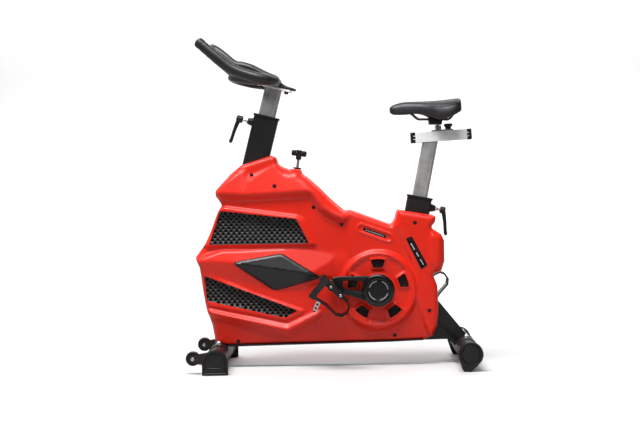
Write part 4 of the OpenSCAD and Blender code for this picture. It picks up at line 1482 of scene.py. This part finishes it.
def pedal_details(word, sign, at, tilt):
    """Blocks at the cage, ribs on the tread, the side's screws, and the strap's cream buckle."""
    parts = [pedal_box(at, sign, tilt, (x - 7, y - 3.5, 7), (x + 7, y + 3.5, 13))
             for x in (-40, 40) for y in (-45, 45)]
    parts += [pedal_box(at, sign, tilt, (x - 1.6, -38, 9), (x + 1.6, 38, 12.2))
              for x in range(-50, 51, 20)]
    trim_on(solid("pedal_ribs_" + word, parts, PLASTIC), "pedal_" + word)
    head = eased([(0, 0), (5, 0), (5, 2.5), (3.8, 3.6), (0, 3.6)], 0.6)
    for k, x in enumerate((44, -2)):
        spot = on_pedal(at, sign, tilt, (x, 47.5, 0))
        screw = turned("pedal_screw_%s_%d" % (word, k), spot, (0, sign, 0), head, STEEL, 24)
        trim_on(screw, "pedal_" + word, "steel")
    if word == "left":
        strap_tail(at, sign, tilt)
        at, tilt = (at[0] - 54, at[1] - 66), math.radians(-26.6)
        y, left, right, rungs = 55, -7, 7, (-17, -2.5, 12)
    else:
        y, left, right, rungs = 50, -43, -17, (-77, -65, -53)
    buckle = [pedal_box(at, sign, tilt, (left, y, z), (right, y + 7, z + 5)) for z in rungs]
    buckle += [pedal_box(at, sign, tilt, (x, y, rungs[0]), (x + 3.4, y + 7.4, rungs[-1] + 5))
               for x in (left, right - 3.4)]
    clip = solid("strap_buckle_" + word, buckle, CREAM)
    rounded = clip.modifiers.new("edges", "BEVEL")
    rounded.width = 1.0 * MM
    rounded.segments = 2
    trim_on(clip, "toe_strap_" + word)


def strap_tail(at, sign, tilt):
    """The loose end of the near strap, from its keeper down through the buckle."""
    path = [(-41, -74), (-25, -70), (-11, -65), (-1, -67), (3, -79), (8, -96), (12, -106)]
    line = np.array(spline(path, 5))
    ahead = np.gradient(line, axis=0)
    aside = np.stack([-ahead[:, 1], ahead[:, 0]], 1) / np.linalg.norm(ahead, axis=1)[:, None] * 5.5
    points = []
    for one, other in zip(line + aside, line - aside):
        points += [on_pedal(at, sign, tilt, (x, y, z))
                   for (x, z), y in ((one, 56.4), (other, 56.4), (other, 58.6), (one, 58.6))]
    tail = solid("strap_tail_left", [(points, capped(4, len(line)))], STRAP, 60)
    trim_on(tail, "toe_strap_left")


# ---------------------------------------------------------------- handlebar

HORN = [(-463, -200, 1188, 17), (-452, -200, 1178, 19), (-434, -200, 1162, 19.5),
        (-399, -200, 1133, 20), (-356, -200, 1098, 20), (-310, -200, 1077, 19.5),
        (-256, -198, 1061, 19), (-222, -186, 1054, 19), (-204, -160, 1052, 19),
        (-200, -130, 1053, 19), (-200, -60, 1054, 19), (-200, 0, 1055, 19)]
LOOP = [(-200, -62, 1062, 17), (-228, -62, 1073, 17), (-262, -62, 1090, 17),
        (-290, -62, 1104, 17.5), (-322, -62, 1114, 17.5), (-350, -60, 1120, 17),
        (-384, -54, 1148, 17), (-416, -42, 1174, 17), (-432, -20, 1184, 17), (-434, 0, 1185, 17)]
LINK = [(-204, -158, 1052, 15), (-250, -138, 1053, 15), (-296, -112, 1058, 15),
        (-332, -88, 1066, 15), (-354, -64, 1072, 15), (-362, -30, 1075, 15), (-363, 0, 1075, 15)]
PLATE_Z = 112
PLATE_T = 8


def hand_grips():
    """Horns, inner loops and links, joined to a tongue that lies on the plate."""
    parts = [swept([(x, sign * y, z, r) for x, y, z, r in path], 20, 5)
             for sign in (1, -1) for path in (HORN, LOOP, LINK)]
    stand_for(welded(solid("hand_grips", parts + [tongue(), web()], PVC), 3.4, 6), "handlebar")


def tongue():
    """The flat pad over the plate, thick under the cross grip and thin at its rear tip."""
    rows = [(-62, 16, 20), (-50, 26, 24), (-25, 30, 26), (0, 31, 26), (22, 31, 22), (38, 30, 15),
            (52, 28, 12.5), (66, 24, 12), (78, 17, 11), (84, 8, 9)]
    points = []
    for along, half, high in rows:
        section = [(-half, 1.5), (-half + 2, 0.3), (half - 2, 0.3), (half, 1.5),
                   (half, high * 0.55), (half * 0.75, high * 0.92), (0, high),
                   (-half * 0.75, high * 0.92), (-half, high * 0.55)]
        for y, up in section:
            x, z = tilted(HEAD_AT, HEAD_TILT, along, PLATE_Z + PLATE_T + up)
            points.append((x, y, z))
    return points, capped(len(section), len(rows))


def web():
    """The padded panel between the inner loops, above the plate."""
    rows = [(-205, 1050, 1066), (-228, 1058, 1079), (-262, 1073, 1096), (-290, 1085, 1110),
            (-320, 1096, 1120), (-342, 1101, 1121)]
    points = []
    for x, low, high in rows:
        points += [(x, y, z) for y, z in (
            (-60, low + 6), (-54, low), (54, low), (60, low + 6),
            (60, high - 7), (48, high - 1), (-48, high - 1), (-60, high - 7))]
    return points, capped(8, len(rows))


def horn_tips():
    """A cap with a shallow ring on each horn's end."""
    axis = Vector((-11, 0, 10)).normalized()
    profile = eased([(18.6, -6), (19.6, -5), (19.6, 3), (18.4, 4), (18.4, 5), (19.4, 6), (18, 12),
                     (13, 16), (0, 17.5)], 1)
    for word, sign in SIDES:
        at = Vector((HORN[0][0], sign * 200, HORN[0][2])) - axis * 4
        trim_on(turned("horn_tip_" + word, at, axis, profile, PVC, 40), "handlebar")


def handlebar():
    softened("handlebar_post", 0.6, HEAD_ALU)
    softened("handlebar_plate", 1.6, RAIL_ALU, 3)
    softened("handlebar_bolts", 1.5, PLASTIC, 3)
    hand_grips()
    horn_tips()


# ---------------------------------------------------------------- seat

# x, half width, top, edge, underside in the middle
SADDLE_ROWS = [
    (220, 10, 953, 940, 938), (223, 17, 958, 934, 934), (230, 23, 963, 929, 933),
    (242, 27, 968, 927, 934), (262, 31, 974, 927, 935), (284, 34, 976, 927, 935),
    (304, 37, 976, 930, 935.5), (326, 44, 976, 931, 936), (346, 54, 976.5, 927, 936),
    (364, 66, 977, 919, 936), (380, 79, 977.5, 911, 936), (396, 90, 978, 904, 936),
    (409, 96, 979, 902, 936), (426, 100, 980.5, 907, 936), (444, 101, 982.5, 914, 936),
    (460, 98, 984.5, 922, 936), (472, 92, 985.5, 929, 937), (480, 82, 984, 934, 938),
    (484.5, 66, 976, 939, 941)]


def saddle_section(x, half, top, edge, under):
    """One ring of the saddle: crown with a channel, side panel, rolled edge, hollow underside."""
    high = top - edge
    channel = 3.0 * ramp((x - 240) / 60) * ramp((475 - x) / 40)
    crown = [(0, top - channel), (0.16, top - channel * 0.7), (0.3, top - 0.3),
             (0.48, top - 0.03 * high), (0.66, top - 0.09 * high), (0.81, top - 0.2 * high),
             (0.91, top - 0.33 * high)]
    flank = [(0.955, top - 0.44 * high), (0.985, top - 0.58 * high), (1.0, top - 0.74 * high),
             (0.985, top - 0.9 * high), (0.93, edge)]
    deep = max(under, edge + 2)
    below = [(0.84, edge + 1.5), (0.74, edge + 0.45 * max(under - edge, 0) + 1), (0.6, deep),
             (0.3, deep), (0, deep)]
    right = [(w * half, z) for w, z in crown + flank + below]
    left = [(-y, z) for y, z in right[-2:0:-1]]
    return right + left


def saddle():
    sections = [saddle_section(*row) for row in SADDLE_ROWS]
    n = len(sections[0])
    points = [(row[0], y, z) for row, section in zip(SADDLE_ROWS, sections) for y, z in section]
    faces = ring_joins(n, len(sections))
    for start in (0, n * (len(sections) - 1)):
        for k in range(n // 2):
            strip = (start + k, start + k + 1, start + (n - k - 1) % n, start + (n - k) % n)
            face = tuple(dict.fromkeys(strip))
            if len(face) > 2:
                faces.append(face)
    cover = solid("saddle_cover", [(points, faces)], VINYL, 80)
    puffed(cover)
    stand_for(cover, "saddle")
    piping()


PUFF_FRAMES = 20
PUFF_MOST = 1.8 * MM


def puffed(obj):
    """Fills the cover lightly from inside, holding its underside, then smooths it."""
    subdivide = obj.modifiers.new("density", "SUBSURF")
    subdivide.levels = subdivide.render_levels = 1
    dense = as_modified(obj)
    obj.modifiers.clear()
    obj.data = dense
    wear(dense, VINYL)
    held = obj.vertex_groups.new(name="held")
    for v in dense.vertices:
        low = 0.937 if v.co.x > 0.3 else 0.938
        weight = 1.0 if v.co.z < low else 0.25
        held.add([v.index], weight, "REPLACE")
    rest = np.array([v.co for v in dense.vertices])
    cloth = obj.modifiers.new("cloth", "CLOTH")
    settings = cloth.settings
    settings.vertex_group_mass = "held"
    settings.pin_stiffness = 3
    settings.use_pressure = True
    settings.uniform_pressure_force = 4
    settings.effector_weights.gravity = 0
    settings.quality = 6
    cloth.point_cache.frame_start = 1
    cloth.point_cache.frame_end = PUFF_FRAMES
    for step in range(1, PUFF_FRAMES + 1):
        bpy.context.scene.frame_set(step)
    full = as_modified(obj)
    bpy.context.scene.frame_set(1)
    moved = np.array([v.co for v in full.vertices]) - rest
    far = np.maximum(np.linalg.norm(moved, axis=1), 1e-9)
    moved *= (np.minimum(far, PUFF_MOST) / far)[:, None]
    obj.modifiers.clear()
    for v, place in zip(dense.vertices, rest + moved):
        v.co = place
    shade(obj, 80)
    smoothing = obj.modifiers.new("smooth", "SUBSURF")
    smoothing.levels = smoothing.render_levels = 1


def piping():
    """The sewn welt between the crown and the side panels of the saddle's wide end."""
    for word, sign in SIDES:
        path = [(x, sign * (0.925 * half + 0.6), top - 0.36 * (top - edge), 1.3)
                for x, half, top, edge, _ in SADDLE_ROWS[9:18]]
        trim_on(bar("saddle_welt_" + word, path, VINYL, sides=10, per=5), "saddle")


RAIL_FROM = np.array((306.0, 841.0))
RAIL_TO = np.array((514.0, 852.0))
RAIL_LENGTH = np.linalg.norm(RAIL_TO - RAIL_FROM)
RAIL_ALONG = (RAIL_TO - RAIL_FROM) / RAIL_LENGTH
RAIL_UP = np.array((-RAIL_ALONG[1], RAIL_ALONG[0]))
KNOB_ALONG = 133


def on_rail(along, up):
    return in_plane(RAIL_FROM + RAIL_ALONG * along + RAIL_UP * up)


def slider_knob():
    """A flared hand knob with five shallow lobes over its stem."""
    up = in_plane(RAIL_UP)
    profile = [(0, 0), (10, 0), (11, 2), (11, 8), (15.5, 11), (17, 14), (17, 18), (14, 20.5),
               (0, 21)]
    obj = turned("slider_knob_cap", on_rail(KNOB_ALONG, 23.8), up, eased(profile, 1), PLASTIC, 60)
    axis_at = np.array(on_rail(KNOB_ALONG, 0)) * MM
    u = np.array((RAIL_ALONG[0], 0, RAIL_ALONG[1]))
    for v in obj.data.vertices:
        rel = np.array(v.co) - axis_at
        a = math.atan2(rel[1], rel @ u)
        height = rel @ np.array(up)
        lobes = 1 - 0.10 * ramp((height / MM - 31) / 4) * (0.5 - 0.5 * math.cos(5 * a))
        v.co = Vector(axis_at + np.array(up) * height + (rel - np.array(up) * height) * lobes)
    stand_for(obj, "slider_knob")
    stem = [(0, 0), (4, 0), (4, 24), (0, 24)]
    trim_on(turned("slider_knob_stem", on_rail(KNOB_ALONG, 0), up, stem, STEEL, 24), "slider_knob",
            "steel")


def rail_caps():
    softened("rail_caps", 2.6, PLASTIC, 3)
    parts = []
    up = np.array((RAIL_UP[0], 0, RAIL_UP[1]))
    for start, way in ((on_rail(0, 0), 1), (on_rail(RAIL_LENGTH, 0), -1)):
        axis = way * np.array((RAIL_ALONG[0], 0, RAIL_ALONG[1]))

        def place(corner):
            a, u, y = corner
            return np.array(start) + axis * a + up * u + np.array((0, y, 0))
        parts += [box((0, low, -18.8), (8, high, 18.8), place)
                  for low, high in ((-19.6, -8), (-4.5, 4.5), (8, 19.6))]
    trim_on(solid("rail_cap_lugs", parts, PLASTIC), "rail_caps")


def seat():
    softened("seat_post", 0.6, SEAT_ALU)
    softened("seat_rail", 2.2, RAIL_ALU, 3)
    rail_caps()
    softened("seat_carriage", 1.0, CHROME)
    slider_knob()
    softened("saddle_clamp", 3.0, PLASTIC, 3)
    path = [(298, 932.5), (306, 927), (326, 911), (350, 909.5), (420, 908), (441, 909), (456, 925),
            (462, 931.5)]
    rails = [swept([(x, sign * 22, z, 3.5) for x, z in path], 14, 5) for _, sign in SIDES]
    stand_for(solid("saddle_rail_bars", rails, FRAME_PAINT, 60), "saddle_rails")
    saddle()


# ---------------------------------------------------------------- build

def cad_materials():
    """Every CAD node gets its finish; the ones that a piece replaces don't show."""
    for name, node in frame["nodes"].items():
        node.data.materials.clear()
        node.data.materials.append(SLOT_LOOK[SLOT_OF[name]])


def build():
    cad_materials()
    studio()
    lights()
    camera()
    frame_tubes()
    cross_tubes()
    dome_nuts()
    both_halves(front_foot, "front_feet")
    both_halves(rear_foot, "rear_feet")
    foot_sleeves()
    wheels()
    shroud()
    grilles()
    ring_shade_discs()
    both_halves(diamond, "diamond_panels")
    screw_heads()
    both_halves(pill, "badges")
    for word, side in (("left", LEFT), ("right", RIGHT)):
        plaque(word, side)
    levers()
    brake()
    crank_arm("crank_arm_left", LEFT)
    crank_arm("crank_arm_right", OPPOSITE)
    crank_caps()
    pedals()
    handlebar()
    seat()


build()
